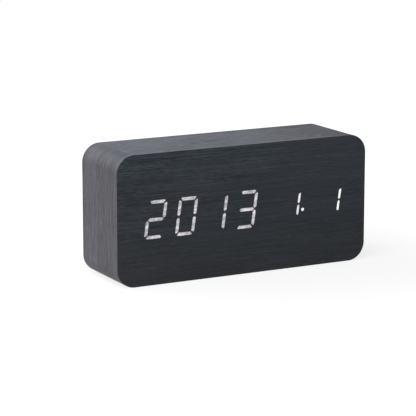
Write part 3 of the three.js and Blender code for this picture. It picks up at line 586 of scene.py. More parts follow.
@dataclass(frozen=True)
class PressedFibre(Finish):
    """Milled fibreboard, blackened where it shows round the rear cover."""

    dark: Colour = (0.16, 0.10, 0.055)
    light: Colour = (0.30, 0.20, 0.12)
    paint: Colour = (0.012, 0.012, 0.013)
    painted: Drift = Drift(Axis.Y, (0.0168, 0.0174))
    fibres: tuple[float, float, float] = (900.0, 1500.0, 2600.0)
    fibre_span: Span = (0.32, 0.68)
    roughness: Span = (0.7, 0.95)
    specular: float = 0.25
    depth: float = 0.00006

    def draw(self, graph: Graph) -> None:
        """Draws the fibres and the paint over them.

        Args:
            graph: Tree that gets the nodes.
        """
        fibres = graph.noise(graph.place(), self.fibres, detail=4.0, fade=0.65, warp=0.4)
        raw = graph.mix(graph.ease(fibres, self.fibre_span), self.dark, self.light)
        graph.colour(self.painted.draw(graph), raw, self.paint)
        graph.rough(fibres, self.roughness)
        graph.fix(Specular_IOR_Level=self.specular)
        graph.emboss(fibres, self.depth)


@dataclass(frozen=True)
class MilkyResin(Finish):
    """The milky filling of the display modules, lit from within."""

    colour: Colour = (0.88, 0.88, 0.87)
    strength: Span = (0.25, 0.45)
    clouds: float = 500.0
    cloud_share: float = 0.92
    roughness: Span = (0.35, 0.5)

    def draw(self, graph: Graph) -> None:
        """Draws the cloudy light.

        Args:
            graph: Tree that gets the nodes.
        """
        cloud = graph.noise(graph.place(), self.clouds, detail=3.0)
        graph.colour(cloud, dimmed(self.colour, self.cloud_share), self.colour)
        graph.feed("Emission Strength", graph.ease(cloud, MOST_NOISE, self.strength))
        graph.rough(cloud, self.roughness)
        graph.fix(Emission_Color=opaque(self.colour))


@dataclass(frozen=True)
class SolderMask(Finish):
    """A circuit board's green mask over rows of copper tracks, in metres, with bare stretches between."""

    mask: Colour = (0.010, 0.085, 0.034)
    track: Colour = (0.022, 0.15, 0.062)
    track_length: float = 0.0107
    track_pitch: float = 0.0011
    track_gap: float = 0.0003
    stagger: float = 0.37
    bare: Cloud = Cloud(70.0, detail=0.0, span=(0.5, 0.51))
    roughness: Span = (0.30, 0.42)
    depth: float = 0.00003

    def draw(self, graph: Graph) -> None:
        """Draws the tracks under the mask.

        Args:
            graph: Tree that gets the nodes.
        """
        turn = (QUARTER_TURN, 0.0, 0.0)
        upright = graph.add("ShaderNodeMapping", {"Vector": graph.place(), "Rotation": turn})
        inputs = {"Vector": upright.outputs["Vector"], "Scale": 1.0, "Brick Width": self.track_length}
        inputs |= {"Row Height": self.track_pitch, "Mortar Size": self.track_gap}
        tracks = graph.add("ShaderNodeTexBrick", inputs, offset=self.stagger)
        gaps = graph.math("MAXIMUM", tracks.outputs["Fac"], self.bare.draw(graph))
        graph.colour(gaps, self.track, self.mask)
        graph.feed("Roughness", graph.ease(gaps, WHOLE, self.roughness))
        graph.emboss(graph.math("SUBTRACT", 1.0, gaps), self.depth)


@dataclass(frozen=True)
class Sleeve(Finish):
    """The printed plastic sleeve of a cell: plain, with a faint brushed sheen."""

    colour: Colour
    metallic: float = 0.35
    roughness: Span = (0.28, 0.42)
    brushing: tuple[float, float, float] = (60.0, 1800.0, 1800.0)
    brush_share: float = 0.75

    def draw(self, graph: Graph) -> None:
        """Draws the brushed sheen.

        Args:
            graph: Tree that gets the nodes.
        """
        brushed = graph.noise(graph.place(), self.brushing, detail=3.0, fade=0.6)
        graph.colour(graph.ease(brushed, MOST_NOISE), dimmed(self.colour, self.brush_share), self.colour)
        graph.rough(brushed, self.roughness)
        graph.fix(Metallic=self.metallic)


@dataclass(frozen=True)
class WhiteTable(Finish):
    """A plain table top, white in mirrors, and to the camera white with the clock's faint soft shadow."""

    plain: Colour = (0.32, 0.29, 0.27)
    mirror_shade: float = 0.5
    mirror_glow: float = 0.9
    seen_shade: float = 0.15
    seen_glow: Span = (0.8, 0.98)
    seen_reach: Span = (0.06, 0.3)

    def draw(self, graph: Graph) -> None:
        """Draws the table as light, mirrors and the camera meet it.

        Args:
            graph: Tree that gets the nodes.
        """
        plain = graph.add("ShaderNodeBsdfDiffuse", {"Color": opaque(self.plain)}).outputs[0]
        mirrored = self.bright(graph, self.mirror_shade, self.mirror_glow)
        away = graph.add("ShaderNodeVectorMath", {0: graph.place()}, operation="LENGTH").outputs["Value"]
        seen = self.bright(graph, self.seen_shade, graph.ease(away, self.seen_reach, self.seen_glow))
        unseen = graph.choose(graph.rays(*Ray), plain, mirrored)
        graph.tree.nodes.remove(graph.shader)
        graph.show(graph.choose(graph.rays(Ray.CAMERA), unseen, seen), "Material Output")

    @staticmethod
    def bright(graph: Graph, shade: float, glow: float | NodeSocket) -> NodeSocket:
        """Adds a white that glows by itself and still takes light and shadow.

        Args:
            graph: Tree that gets the nodes.
            shade: Share of the light that it gives back.
            glow: Strength of its own light.

        Returns:
            The shader's socket.
        """
        shaded = graph.add("ShaderNodeBsdfDiffuse", {"Color": opaque(dimmed(PLAIN, shade))})
        glowing = graph.add("ShaderNodeEmission", {"Strength": glow})
        return graph.add("ShaderNodeAddShader", {0: shaded.outputs[0], 1: glowing.outputs[0]}).outputs[0]


RISE = Drift(Axis.Z, (0.0, 0.072))
UPPER_LEFT = Meeting((RISE, Drift(Axis.X, (0.075, -0.05))))
UPPER_RIGHT = Meeting((RISE, Drift(Axis.X, (0.0, 0.06))))
LOWER_LEFT = Meeting((Drift(Axis.Z, (0.03, 0.0)), Drift(Axis.X, (-0.02, -0.06))))
LIGHT_BAND = Meeting(
    (Drift(Axis.Z, (0.052, 0.059)), Drift(Axis.Z, (0.069, 0.062)), Drift(Axis.X, (0.03, 0.0)))
)
# The front film: one film with the wrap and the rear frame, painted darker and bluer here as shade.
LEVEL_FILM = GrainFilm(
    "film, level grain", GrainPath.LEVEL, dark=(0.014, 0.018, 0.022), light=(0.040, 0.047, 0.055),
    tones=(
        # Painted light: darker towards the bottom, lighter and bluer towards the top.
        Tone(RISE, (0.875, 0.845, 0.83), (1.045, 1.095, 1.11)),
        Tone(UPPER_RIGHT, PLAIN, (1.15, 1.11, 1.12)),
        Tone(LOWER_LEFT, PLAIN, (1.14, 1.06, 1.09)),
        Tone(LIGHT_BAND, PLAIN, (1.12, 1.10, 1.07)),
    ),
    # Painted highlight: grain livelier towards the upper left, as pores catch light from above.
    contrasts=(Fade(UPPER_LEFT, 0.5, 1.35),), roughness=(0.62, 0.52),
    grain=Grain((260.0, 2400.0), (26.0, 1500.0), pore_share=0.45, warp=0.0),
)
# The right half of the top and the right side of the wrap, away from the light: painted shade and a duller
# sheen there.
FAR_END = Drift(Axis.X, (0.215, 0.155))
LIGHT_STREAK = Meeting(
    (Drift(Axis.Y, (0.0025, 0.0045)), Drift(Axis.Y, (0.0105, 0.0065)), Drift(Axis.X, (0.07, 0.058)))
)
WARM_CORNER = Meeting((Drift(Axis.X, (0.0655, 0.0685)), Drift(Axis.X, (0.0785, 0.0745))))
ON_TOP = Meeting((Drift(Axis.X, (0.078, 0.086)), Drift(Axis.X, (0.215, 0.207))))
# The same film painted about twice as light on the top and sides, where more light falls.
WRAP_FILM = GrainFilm(
    "film, wrapped grain", GrainPath.WRAPPED, dark=(0.028, 0.031, 0.038), light=(0.079, 0.087, 0.102),
    tones=(
        # Painted shade: darker and warmer towards the right end of the wrap.
        Tone(FAR_END, (0.94, 0.875, 0.835), (1.0, 0.985, 0.975)),
        # Painted light: the left side lighter than the top.
        Tone(Drift(Axis.X, (0.056, 0.068)), (1.13, 1.09, 1.085), PLAIN),
        Tone(Drift(Axis.Y, (0.0, 0.0035)), (0.93, 0.93, 0.93), (1.065, 1.06, 1.06)),
        # Painted shade: darker along the rear edge.
        Tone(Drift(Axis.Y, (0.016, 0.0212)), PLAIN, (0.74, 0.75, 0.74)),
        # Painted highlight: lighter along the front edge.
        Tone(Drift(Axis.Y, (-0.0165, -0.0205)), PLAIN, (1.24, 1.25, 1.24)),
        Tone(LIGHT_STREAK, PLAIN, (1.12, 1.12, 1.12)),
        # Painted light: a warmer tint over the upper left corner.
        Tone(WARM_CORNER, PLAIN, (1.03, 0.97, 0.955)),
        # Painted shade: a dark band over the upper corners.
        Tone(PaintedCornerShade(), PLAIN, (0.57, 0.53, 0.52)),
    ),
    # The grain is calmer under the painted corner shade, and livelier on the top.
    contrasts=(Fade(PaintedCornerShade(), 1.0, 0.35), Fade(ON_TOP, 1.0, 1.5)), roughness=(0.68, 0.58),
    dulling=Fade(FAR_END, 0.12, 0.0),
)
# The same film painted greyer on the rear frame, offsetting the bluish light at the back.
REAR_FILM = replace(
    LEVEL_FILM, name="film, rear frame", dark=(0.022, 0.0235, 0.026), light=(0.054, 0.057, 0.062), tones=(),
    # Painted highlight: grain livelier towards the top.
    contrasts=(Fade(RISE, 0.6, 0.95),),
)
CELL_BAND = Sleeve("cell band", (0.42, 0.36, 0.27), metallic=0.6)
COVER_PLASTIC = MouldedPlastic("rear cover plastic", (0.014, 0.014, 0.016))
BLACK_INSULATION = MouldedPlastic(
    "black insulation", (0.007, 0.007, 0.008), roughness=(0.35, 0.5), texture=900.0, depth=0.00001
)
RED_INSULATION = replace(BLACK_INSULATION, name="red insulation", colour=(0.45, 0.02, 0.012), tone=0.1)
FINISHES = {
    Slot.FILM: LEVEL_FILM,
    Slot.FIBREBOARD: PressedFibre("fibreboard"),
    Slot.COVER: COVER_PLASTIC,
    Slot.KEY: MouldedPlastic(
        "key plastic", (0.03, 0.03, 0.034), roughness=(0.34, 0.46), texture=2600.0, depth=0.000008
    ),
    Slot.HOUSING: MouldedPlastic("module housing", (0.008, 0.008, 0.009), roughness=(0.5, 0.65)),
    Slot.RESIN: MilkyResin("segment resin"),
    Slot.BOARD: SolderMask("circuit board"),
    Slot.CHIP: replace(
        COVER_PLASTIC, name="moulded black", roughness=(0.4, 0.55), texture=3200.0, depth=0.00001
    ),
    Slot.SOCKET: MouldedPlastic(
        "ivory nylon", (0.79, 0.76, 0.68), roughness=(0.4, 0.5), texture=2400.0, depth=0.000008, tone=0.06
    ),
    Slot.STEEL: PlatedMetal("zinc-plated steel", (0.46, 0.47, 0.49)),
    Slot.TIN: PlatedMetal("nickel-plated contact", (0.62, 0.61, 0.58), roughness=(0.16, 0.3)),
    Slot.CELL: Sleeve("cell sleeve", (0.045, 0.05, 0.058)),
    Slot.RIBBON: replace(
        RED_INSULATION, name="ribbon insulation", colour=(0.27, 0.29, 0.31), roughness=(0.4, 0.55)
    ),
    Slot.RED_LEAD: RED_INSULATION,
    Slot.BLACK_LEAD: BLACK_INSULATION,
}


def material_of(finish: Finish | Slot) -> Material:
    """Gives the material of a finish, or of the one that the record names."""
    return (FINISHES[finish] if isinstance(finish, Slot) else finish).make()


class Shape:
    """A mesh in the making, in the clock's own frame, in millimetres until it is placed."""

    def __init__(self) -> None:
        """Starts an empty mesh."""
        self.mesh = bmesh.new()

    @classmethod
    def of_node(cls, node: str) -> "Shape":
        """Copies a CAD node, welds its triangles and joins those that lie flat.

        Args:
            node: Name of the CAD node.

        Returns:
            The copy.
        """
        shape = cls()
        shape.mesh.from_mesh(frame["nodes"][node].data)
        shape.transform(Matrix.Scale(1.0 / MM, 4)).weld()
        bmesh.ops.dissolve_limit(
            shape.mesh, angle_limit=FLAT_ANGLE, verts=shape.mesh.verts, edges=shape.mesh.edges
        )
        return shape

    @classmethod
    def plate(cls, width: float, height: float, radius: float, steps: int = CORNER_STEPS) -> "Shape":
        """Makes a flat face with round corners that faces the front.

        Args:
            width: Size along X.
            height: Size along Z.
            radius: Radius of the corners.
            steps: Divisions of each corner.

        Returns:
            The face, with its middle at the origin.
        """
        shape = cls()
        bmesh.ops.create_grid(shape.mesh, x_segments=1, y_segments=1, size=HALF)
        shape.transform(Matrix.Diagonal((width, height, 1.0, 1.0))).rotate(QUARTER_TURN, Axis.X)
        return shape.bevel(shape.mesh.verts[:], "VERTICES", radius, steps)

    @classmethod
    def disc(cls, radius: float, steps: int = ROUND_STEPS) -> "Shape":
        """Makes a flat disc that faces the front.

        Args:
            radius: Radius of the disc.
            steps: Divisions of its rim; few make a polygon with a corner up.

        Returns:
            The disc, with its middle at the origin.
        """
        shape = cls()
        bmesh.ops.create_circle(shape.mesh, cap_ends=True, radius=radius, segments=steps)
        return shape.rotate(QUARTER_TURN, Axis.X)

    @classmethod
    def block(cls, x: Span, y: Span, z: Span) -> "Shape":
        """Makes a box.

        Args:
            x: Limits along X.
            y: Limits along Y.
            z: Limits along Z.

        Returns:
            The box.
        """
        shape = cls()
        bmesh.ops.create_cube(shape.mesh, size=1.0)
        sizes = [high - low for low, high in (x, y, z)]
        middles = [(low + high) / 2 for low, high in (x, y, z)]
        return shape.transform(Matrix.Diagonal((*sizes, 1.0))).move(*middles)

    @classmethod
    def lathe(cls, profile: Sequence[Span]) -> "Shape":
        """Spins a profile about the Y axis.

        Args:
            profile: Radius and place along Y of each corner; it starts and ends on the axis.

        Returns:
            The closed solid.
        """
        shape = cls()
        corners = [shape.mesh.verts.new((radius, along, 0.0)) for radius, along in profile]
        edges = [shape.mesh.edges.new(pair) for pair in zip(corners, corners[1:])]
        bmesh.ops.spin(
            shape.mesh, geom=corners + edges, cent=(0, 0, 0), axis=(0, 1, 0), angle=FULL_TURN,
            steps=ROUND_STEPS, use_merge=True,
        )
        return shape.weld().face_outwards()

    @classmethod
    def rod(cls, radius: float, start: float, end: float) -> "Shape":
        """Makes a round rod about the Y axis, from one place along it to another."""
        return cls.lathe(((0.0, start), (radius, start), (radius, end), (0.0, end)))

    @classmethod
    def strip(cls, path: Sequence[Span], width: float, thickness: float) -> "Shape":
        """Bends a flat strip of metal along a path.

        Args:
            path: Place along Y and Z of each bend, and of both ends.
            width: Size along X.
            thickness: Thickness of the metal.

        Returns:
            The strip, with its middle at X zero and its lowest side along Y at zero.
        """
        shape = cls()
        bends = [shape.mesh.verts.new((-width / 2, y, z)) for y, z in path]
        for pair in zip(bends, bends[1:]):
            shape.mesh.edges.new(pair)
        shape.sweep(Vector((width, 0.0, 0.0))).wall(thickness)
        return shape.move(y=-min(vert.co.y for vert in shape.mesh.verts))

    def sweep(self, way: Vector) -> "Shape":
        """Draws the edges out into a sheet."""
        return self.draw_out(bmesh.ops.extrude_edge_only(self.mesh, edges=self.mesh.edges), way)

    def thicken(self, depth: float) -> "Shape":
        """Gives a flat region a depth towards the back."""
        made = bmesh.ops.extrude_face_region(self.mesh, geom=self.mesh.faces[:])
        return self.draw_out(made, Vector((0.0, depth, 0.0)))

    def draw_out(self, made: dict[str, list], way: Vector) -> "Shape":
        """Moves what an extrusion has made, and turns all faces outwards.

        Args:
            made: Result of the extrusion.
            way: How far it moves.

        Returns:
            The shape itself.
        """
        moving = [item for item in made["geom"] if isinstance(item, BMVert)]
        bmesh.ops.translate(self.mesh, vec=way, verts=moving)
        return self.face_outwards()

    def wall(self, thickness: float) -> "Shape":
        """Gives a sheet its thickness."""
        bmesh.ops.solidify(self.mesh, geom=self.mesh.faces[:], thickness=thickness)
        return self.face_outwards()

    def face_outwards(self) -> "Shape":
        """Turns all faces outwards."""
        bmesh.ops.recalc_face_normals(self.mesh, faces=self.mesh.faces)
        return self

    def weld(self) -> "Shape":
        """Makes points that lie together one."""
        bmesh.ops.remove_doubles(self.mesh, verts=self.mesh.verts, dist=WELD)
        return self

    def transform(self, matrix: Matrix) -> "Shape":
        """Moves, turns or scales the whole mesh."""
        bmesh.ops.transform(self.mesh, matrix=matrix, verts=self.mesh.verts)
        return self

    def move(self, x: float = 0.0, y: float = 0.0, z: float = 0.0) -> "Shape":
        """Moves the whole mesh."""
        return self.transform(Matrix.Translation((x, y, z)))

    def rotate(self, angle: float, axis: Axis) -> "Shape":
        """Turns the whole mesh about an axis."""
        return self.transform(Matrix.Rotation(angle, 4, axis.value))

    def merge(self, other: "Shape") -> "Shape":
        """Takes another shape in.

        Args:
            other: The other shape, which is used up.

        Returns:
            The shape itself.
        """
        carrier = bpy.data.meshes.new("carrier")
        other.mesh.to_mesh(carrier)
        other.mesh.free()
        self.mesh.from_mesh(carrier)
        bpy.data.meshes.remove(carrier)
        return self

    def open_face(self) -> "Shape":
        """Leaves only the outline of a flat face."""
        bmesh.ops.delete(self.mesh, geom=self.mesh.faces[:], context="FACES_ONLY")
        return self

    def fill(self) -> "Shape":
        """Fills the outlines with one flat face region that faces the front, inner outlines as holes."""
        bmesh.ops.triangle_fill(self.mesh, use_beauty=True, edges=self.mesh.edges, normal=(0.0, -1.0, 0.0))
        return self

    def soften(
        self, width: float, steps: int = 2, where: Callable[[BMEdge], bool] | None = None
    ) -> "Shape":
        """Rounds sharp edges.

        Args:
            width: How far the rounding reaches on each face.
            steps: Divisions of the rounding.
            where: Picks the edges; without it all sharp ones are taken.

        Returns:
            The shape itself.
        """
        sharp = [edge for edge in self.mesh.edges if edge.calc_face_angle(0.0) > SHARP_ANGLE]
        picked = [edge for edge in sharp if where is None or where(edge)]
        return self.bevel(picked, "EDGES", width, steps)

    def bevel(self, picked: list[BMEdge | BMVert], affect: str, width: float, steps: int) -> "Shape":
        """Rounds edges or corners.

        Args:
            picked: What is rounded.
            affect: Whether these are edges or corners, in Blender's words.
            width: How far the rounding reaches.
            steps: Divisions of the rounding.

        Returns:
            The shape itself.
        """
        bmesh.ops.bevel(
            self.mesh, geom=picked, affect=affect, offset=width, offset_type="OFFSET", segments=steps,
            profile=0.5, clamp_overlap=True, material=-1,
        )
        return self

    def dye(self, where: Callable[[BMFace], bool] | None = None, finish: int = SECOND) -> "Shape":
        """Gives faces another of the piece's finishes.

        Args:
            where: Picks the faces; without it all are taken.
            finish: Place of the finish in the piece's list.

        Returns:
            The shape itself.
        """
        for face in self.mesh.faces:
            if where is None or where(face):
                face.material_index = finish
        return self

    def join(self, other: "Shape") -> "Shape":
        """Joins another closed shape to this one."""
        return self.combine(other, Joining.ADDED)

    def cut(self, tool: "Shape") -> "Shape":
        """Cuts another closed shape out of this one."""
        return self.combine(tool, Joining.CUT_OUT)

    def combine(self, other: "Shape", joining: Joining) -> "Shape":
        """Joins another closed shape to this one or cuts it out, and clears edges without a length.

        Args:
            other: The other shape, which is used up.
            joining: What it does to this one.

        Returns:
            The shape itself.
        """
        holders = [self.holder("base"), other.holder("tool")]
        boolean = holders[0].modifiers.new("joining", "BOOLEAN")
        boolean.object = holders[1]
        boolean.operation = joining.value
        boolean.solver = "EXACT"
        bpy.context.view_layer.update()
        evaluated = holders[0].evaluated_get(bpy.context.evaluated_depsgraph_get())
        self.mesh = bmesh.new()
        self.mesh.from_mesh(evaluated.to_mesh())
        for holder in holders:
            mesh = holder.data
            bpy.data.objects.remove(holder)
            bpy.data.meshes.remove(mesh)
        bmesh.ops.dissolve_degenerate(self.mesh, edges=self.mesh.edges, dist=WELD)
        return self

    def holder(self, name: str) -> Object:
        """Moves the mesh into an object of the scene.

        Args:
            name: Name of the object.

        Returns:
            The object.
        """
        mesh = bpy.data.meshes.new(name)
        self.mesh.to_mesh(mesh)
        self.mesh.free()
        made = bpy.data.objects.new(name, mesh)
        bpy.context.scene.collection.objects.link(made)
        return made

    def place(
        self, name: str, slot: Slot, node: str | None = None, body: Body = Body.CASE,
        finish: Finish | None = None, others: Sequence[Finish | Slot] = (),
    ) -> None:
        """Makes the shape a piece of the clock.

        Args:
            name: Name of the piece.
            slot: Finish of the record that it takes.
            node: CAD node that it stands for, if there is one.
            body: Body that it rides on.
            finish: Its own kind of that finish, if it has one.
            others: Finishes of its dyed faces.
        """
        piece = self.transform(Matrix.Scale(MM, 4)).holder(name)
        piece.data.shade_smooth()
        piece.data.set_sharp_from_angle(angle=SHARP_ANGLE)
        for item in (finish or slot, *others):
            piece.data.materials.append(material_of(item))
        even = piece.modifiers.new("even shading", "WEIGHTED_NORMAL")
        even.keep_sharp = True
        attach(piece, body.value)
        if node:
            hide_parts(node)
        LOG.info("%s: %d faces, rides on %s", name, len(piece.data.polygons), body.value)


@cache
def extent(node: str) -> tuple[Vector, Vector, Vector]:
    """Gives the lowest corner, the highest corner and the middle of a CAD node, in millimetres."""
    low, high = (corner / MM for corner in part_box(node))
    return low, high, (low + high) / 2


def around(centre: float, width: float) -> Span:
    """Gives the limits of a width about a centre."""
    return (centre - width / 2, centre + width / 2)


def row(centre: float, count: int, pitch: float) -> list[float]:
    """Gives evenly spaced places about a centre."""
    return [centre + (step - (count - 1) / 2) * pitch for step in range(count)]


def lies_at(item: BMEdge | BMFace, axis: Axis, level: float) -> bool:
    """Tells whether an edge or a face lies level at one place along an axis."""
    return all(abs(getattr(vert.co, axis.value.lower()) - level) < WELD for vert in item.verts)


@dataclass
class FilmCover:
    """The films on the outside of the block, and the digits that shine through the front one."""

    corner: float = 10.0
    rebate_corner: float = 6.5
    rim_reach: float = 2.5
    front_edge: float = 0.18
    rear_edge: float = 0.15
    base_edge: float = 0.06
    edge_steps: int = 3
    cover_gap: float = 0.3
    # Painted shade over the upper corners: its strength where a corner starts, and the share of the way
    # where it is darkest.
    corner_shade_start: float = 0.31
    corner_shade_peak: float = 0.76
    soft_rim: float = 0.32
    glow_recess: float = 0.02
    glow_depth: float = 0.07
    large_digits: int = 4
    large_glow: GlowingFilm = GlowingFilm(
        "large digit glow", tint_low=(0.93, 0.90, 1.0), tint_high=(1.0, 0.95, 0.96),
        tint=Cloud(110.0, detail=1.0, span=SOFT_SPAN), strength=(0.3, 0.8),
    )
    date_glow: GlowingFilm = GlowingFilm(
        "date digit glow", tint_low=(0.77, 0.73, 0.78), tint_high=PLAIN,
        tint=Drift(Axis.X, (0.0338, 0.0352)), strength=(0.85, 1.25),
    )

    def build(self) -> None:
        """Makes the sheets and the glowing digits."""
        self.front_sheet()
        self.wrap_sheet()
        self.base_sheet()
        self.rear_frame()
        for digit in range(1, self.large_digits + 1):
            self.glow(f"digit_{digit}", self.large_glow)
        self.glow("date", self.date_glow)

    def rim(self, node: str) -> Shape:
        """Makes the rounded outline of a film, at its front.

        Args:
            node: CAD node of the film.

        Returns:
            The outline.
        """
        low, high, spot = extent(node)
        outline = Shape.plate(high.x - low.x, high.z - low.z, self.corner).open_face()
        return outline.move(0.0, low.y, spot.z)

    def windows(self) -> Shape:
        """Finds the outlines of the lit segments in the CAD film, at its front.

        Returns:
            The outlines.
        """
        shape = Shape.of_node("front_film")
        low, high, _ = extent("front_film")
        kept = set()
        for edge in shape.mesh.edges:
            inside = all(
                low.x + self.corner < vert.co.x < high.x - self.corner
                and low.z + self.corner < vert.co.z < high.z - self.corner
                for vert in edge.verts
            )
            if inside and lies_at(edge, Axis.Y, low.y) and edge.calc_face_angle(0.0) > SHARP_ANGLE:
                kept.add(edge)
        shape.open_face()
        others = [edge for edge in shape.mesh.edges if edge not in kept]
        bmesh.ops.delete(shape.mesh, geom=others, context="EDGES")
        loose = [vert for vert in shape.mesh.verts if not vert.link_edges]
        bmesh.ops.delete(shape.mesh, geom=loose, context="VERTS")
        return shape

    def front_sheet(self) -> None:
        """Makes the front film, with a window for each lit segment."""
        low, high, _ = extent("front_film")
        sheet = self.rim("front_film").merge(self.windows()).fill().thicken(high.y - low.y)

        def at_front_rim(edge: BMEdge) -> bool:
            """Tells whether an edge lies on the outer rim of the front."""
            spot = (edge.verts[0].co + edge.verts[1].co) / 2
            return lies_at(edge, Axis.Y, low.y) and self.rim_distance(spot) < self.rim_reach

        sheet.soften(self.front_edge, self.edge_steps, at_front_rim)
        sheet.place("front_film_sheet", Slot.FILM, "front_film")

    def rim_distance(self, spot: Vector) -> float:
        """Gives the distance of a point from the front film's rounded outline, along X and Z.

        Args:
            spot: The point.

        Returns:
            The distance in millimetres.
        """
        low, high, centre = extent("front_film")
        half = (high - low) / 2
        across = max(abs(spot.x - centre.x) - half.x + self.corner, 0.0)
        up = max(abs(spot.z - centre.z) - half.z + self.corner, 0.0)
        return self.corner - math.hypot(across, up)

    def wrap_sheet(self) -> None:
        """Makes the film round the sides and the top, with its grain running along it."""
        low, high, _ = extent("wrap_film")
        front_low, front_high, _ = extent("front_film")
        sheet = self.rim("wrap_film")
        bottom = [edge for edge in sheet.mesh.edges if lies_at(edge, Axis.Z, low.z)]
        bmesh.ops.delete(sheet.mesh, geom=bottom, context="EDGES")
        sheet.sweep(Vector((0.0, high.y - low.y, 0.0))).wall(front_high.y - front_low.y)
        self.lay_grain(sheet, low, high)
        sheet.place("wrap_film_sheet", Slot.FILM, "wrap_film", finish=WRAP_FILM)

    def lay_grain(self, sheet: Shape, low: Vector, high: Vector) -> None:
        """Writes the way along the wrap, the depth of each point and the painted shade over the upper
        corners.

        Args:
            sheet: The wrap film.
            low: Lowest corner of the block's outline.
            high: Highest corner of the block's outline.
        """
        layer = sheet.mesh.verts.layers.float_vector.new(WRAP_ATTRIBUTE)
        corner_shade_layer = sheet.mesh.verts.layers.float.new(CORNER_SHADE_ATTRIBUTE)
        quarter = self.corner * QUARTER_TURN
        side = high.z - low.z - 2 * self.corner
        left = low.x + self.corner
        half_way = 2 * quarter + side - left
        for vert in sheet.mesh.verts:
            x = -abs(vert.co.x)
            rise = vert.co.z - low.z - self.corner
            if rise < 0.0:
                along = self.corner * math.atan2(left - x, -rise)
            elif rise <= side:
                along = quarter + rise
            elif x < left:
                along = quarter + side + self.corner * math.atan2(rise - side, left - x)
            else:
                along = 2 * quarter + side + x - left
            way = along if vert.co.x < 0.0 else 2 * half_way - along
            vert[layer] = Vector((way, vert.co.y, 0.0)) * MM
            # Painted shade over the upper corners.
            vert[corner_shade_layer] = self.corner_shade((along - quarter - side) / quarter)

    def corner_shade(self, share: float) -> float:
        """Gives the painted shade of the film over an upper corner.

        Args:
            share: Share of the way from the side to the top.

        Returns:
            The strength of the painted shade, from 0 to 1.
        """
        if share < -WELD or share > 1.0:
            return 0.0
        if share < self.corner_shade_peak:
            return self.corner_shade_start + (1.0 - self.corner_shade_start) * (share / self.corner_shade_peak) ** 2
        return (1.0 - share) / (1.0 - self.corner_shade_peak)

    def base_sheet(self) -> None:
        """Makes the strip of film on the underside."""
        low, high, _ = extent("base_film")
        strip = Shape.block(*zip(low, high)).soften(self.base_edge)
        strip.place("base_film_strip", Slot.FILM, "base_film")

    def rear_frame(self) -> None:
        """Makes the film round the rear cover."""
        low, high, spot = extent("rear_film")
        cover_low, cover_high, _ = extent("rear_cover")
        opening = cover_high - cover_low
        gap = 2 * self.cover_gap
        hole = Shape.plate(opening.x + gap, opening.z + gap, self.rebate_corner).open_face()
        sheet = self.rim("rear_film").merge(hole.move(0.0, low.y, spot.z)).fill().thicken(high.y - low.y)
        sheet.soften(self.rear_edge, self.edge_steps, lambda edge: lies_at(edge, Axis.Y, high.y))
        sheet.place("rear_film_frame", Slot.FILM, "rear_film", finish=REAR_FILM)

    def glow(self, module: str, finish: GlowingFilm) -> None:
        """Makes the thin lit panes of one display module.

        Args:
            module: Name that the module's CAD nodes start with.
            finish: How they glow.
        """
        low, high, _ = extent(f"{module}_housing")
        panes = self.windows()
        bmesh.ops.edgeloop_fill(panes.mesh, edges=panes.mesh.edges)
        outside = [face for face in panes.mesh.faces if not low.x < face.calc_center_median().x < high.x]
        bmesh.ops.delete(panes.mesh, geom=outside, context="FACES")
        panes.thicken(self.glow_depth)
        fronts = [face for face in panes.mesh.faces if face.normal.y < FRONT_FACING]
        layer = panes.mesh.verts.layers.float.new(CORE_ATTRIBUTE)
        bmesh.ops.inset_individual(
            panes.mesh, faces=fronts, thickness=self.soft_rim, use_even_offset=True
        )
        for face in fronts:
            for vert in face.verts:
                vert[layer] = 1.0
        panes.move(0.0, self.glow_recess).place(f"{module}_glow", Slot.RESIN, finish=finish)


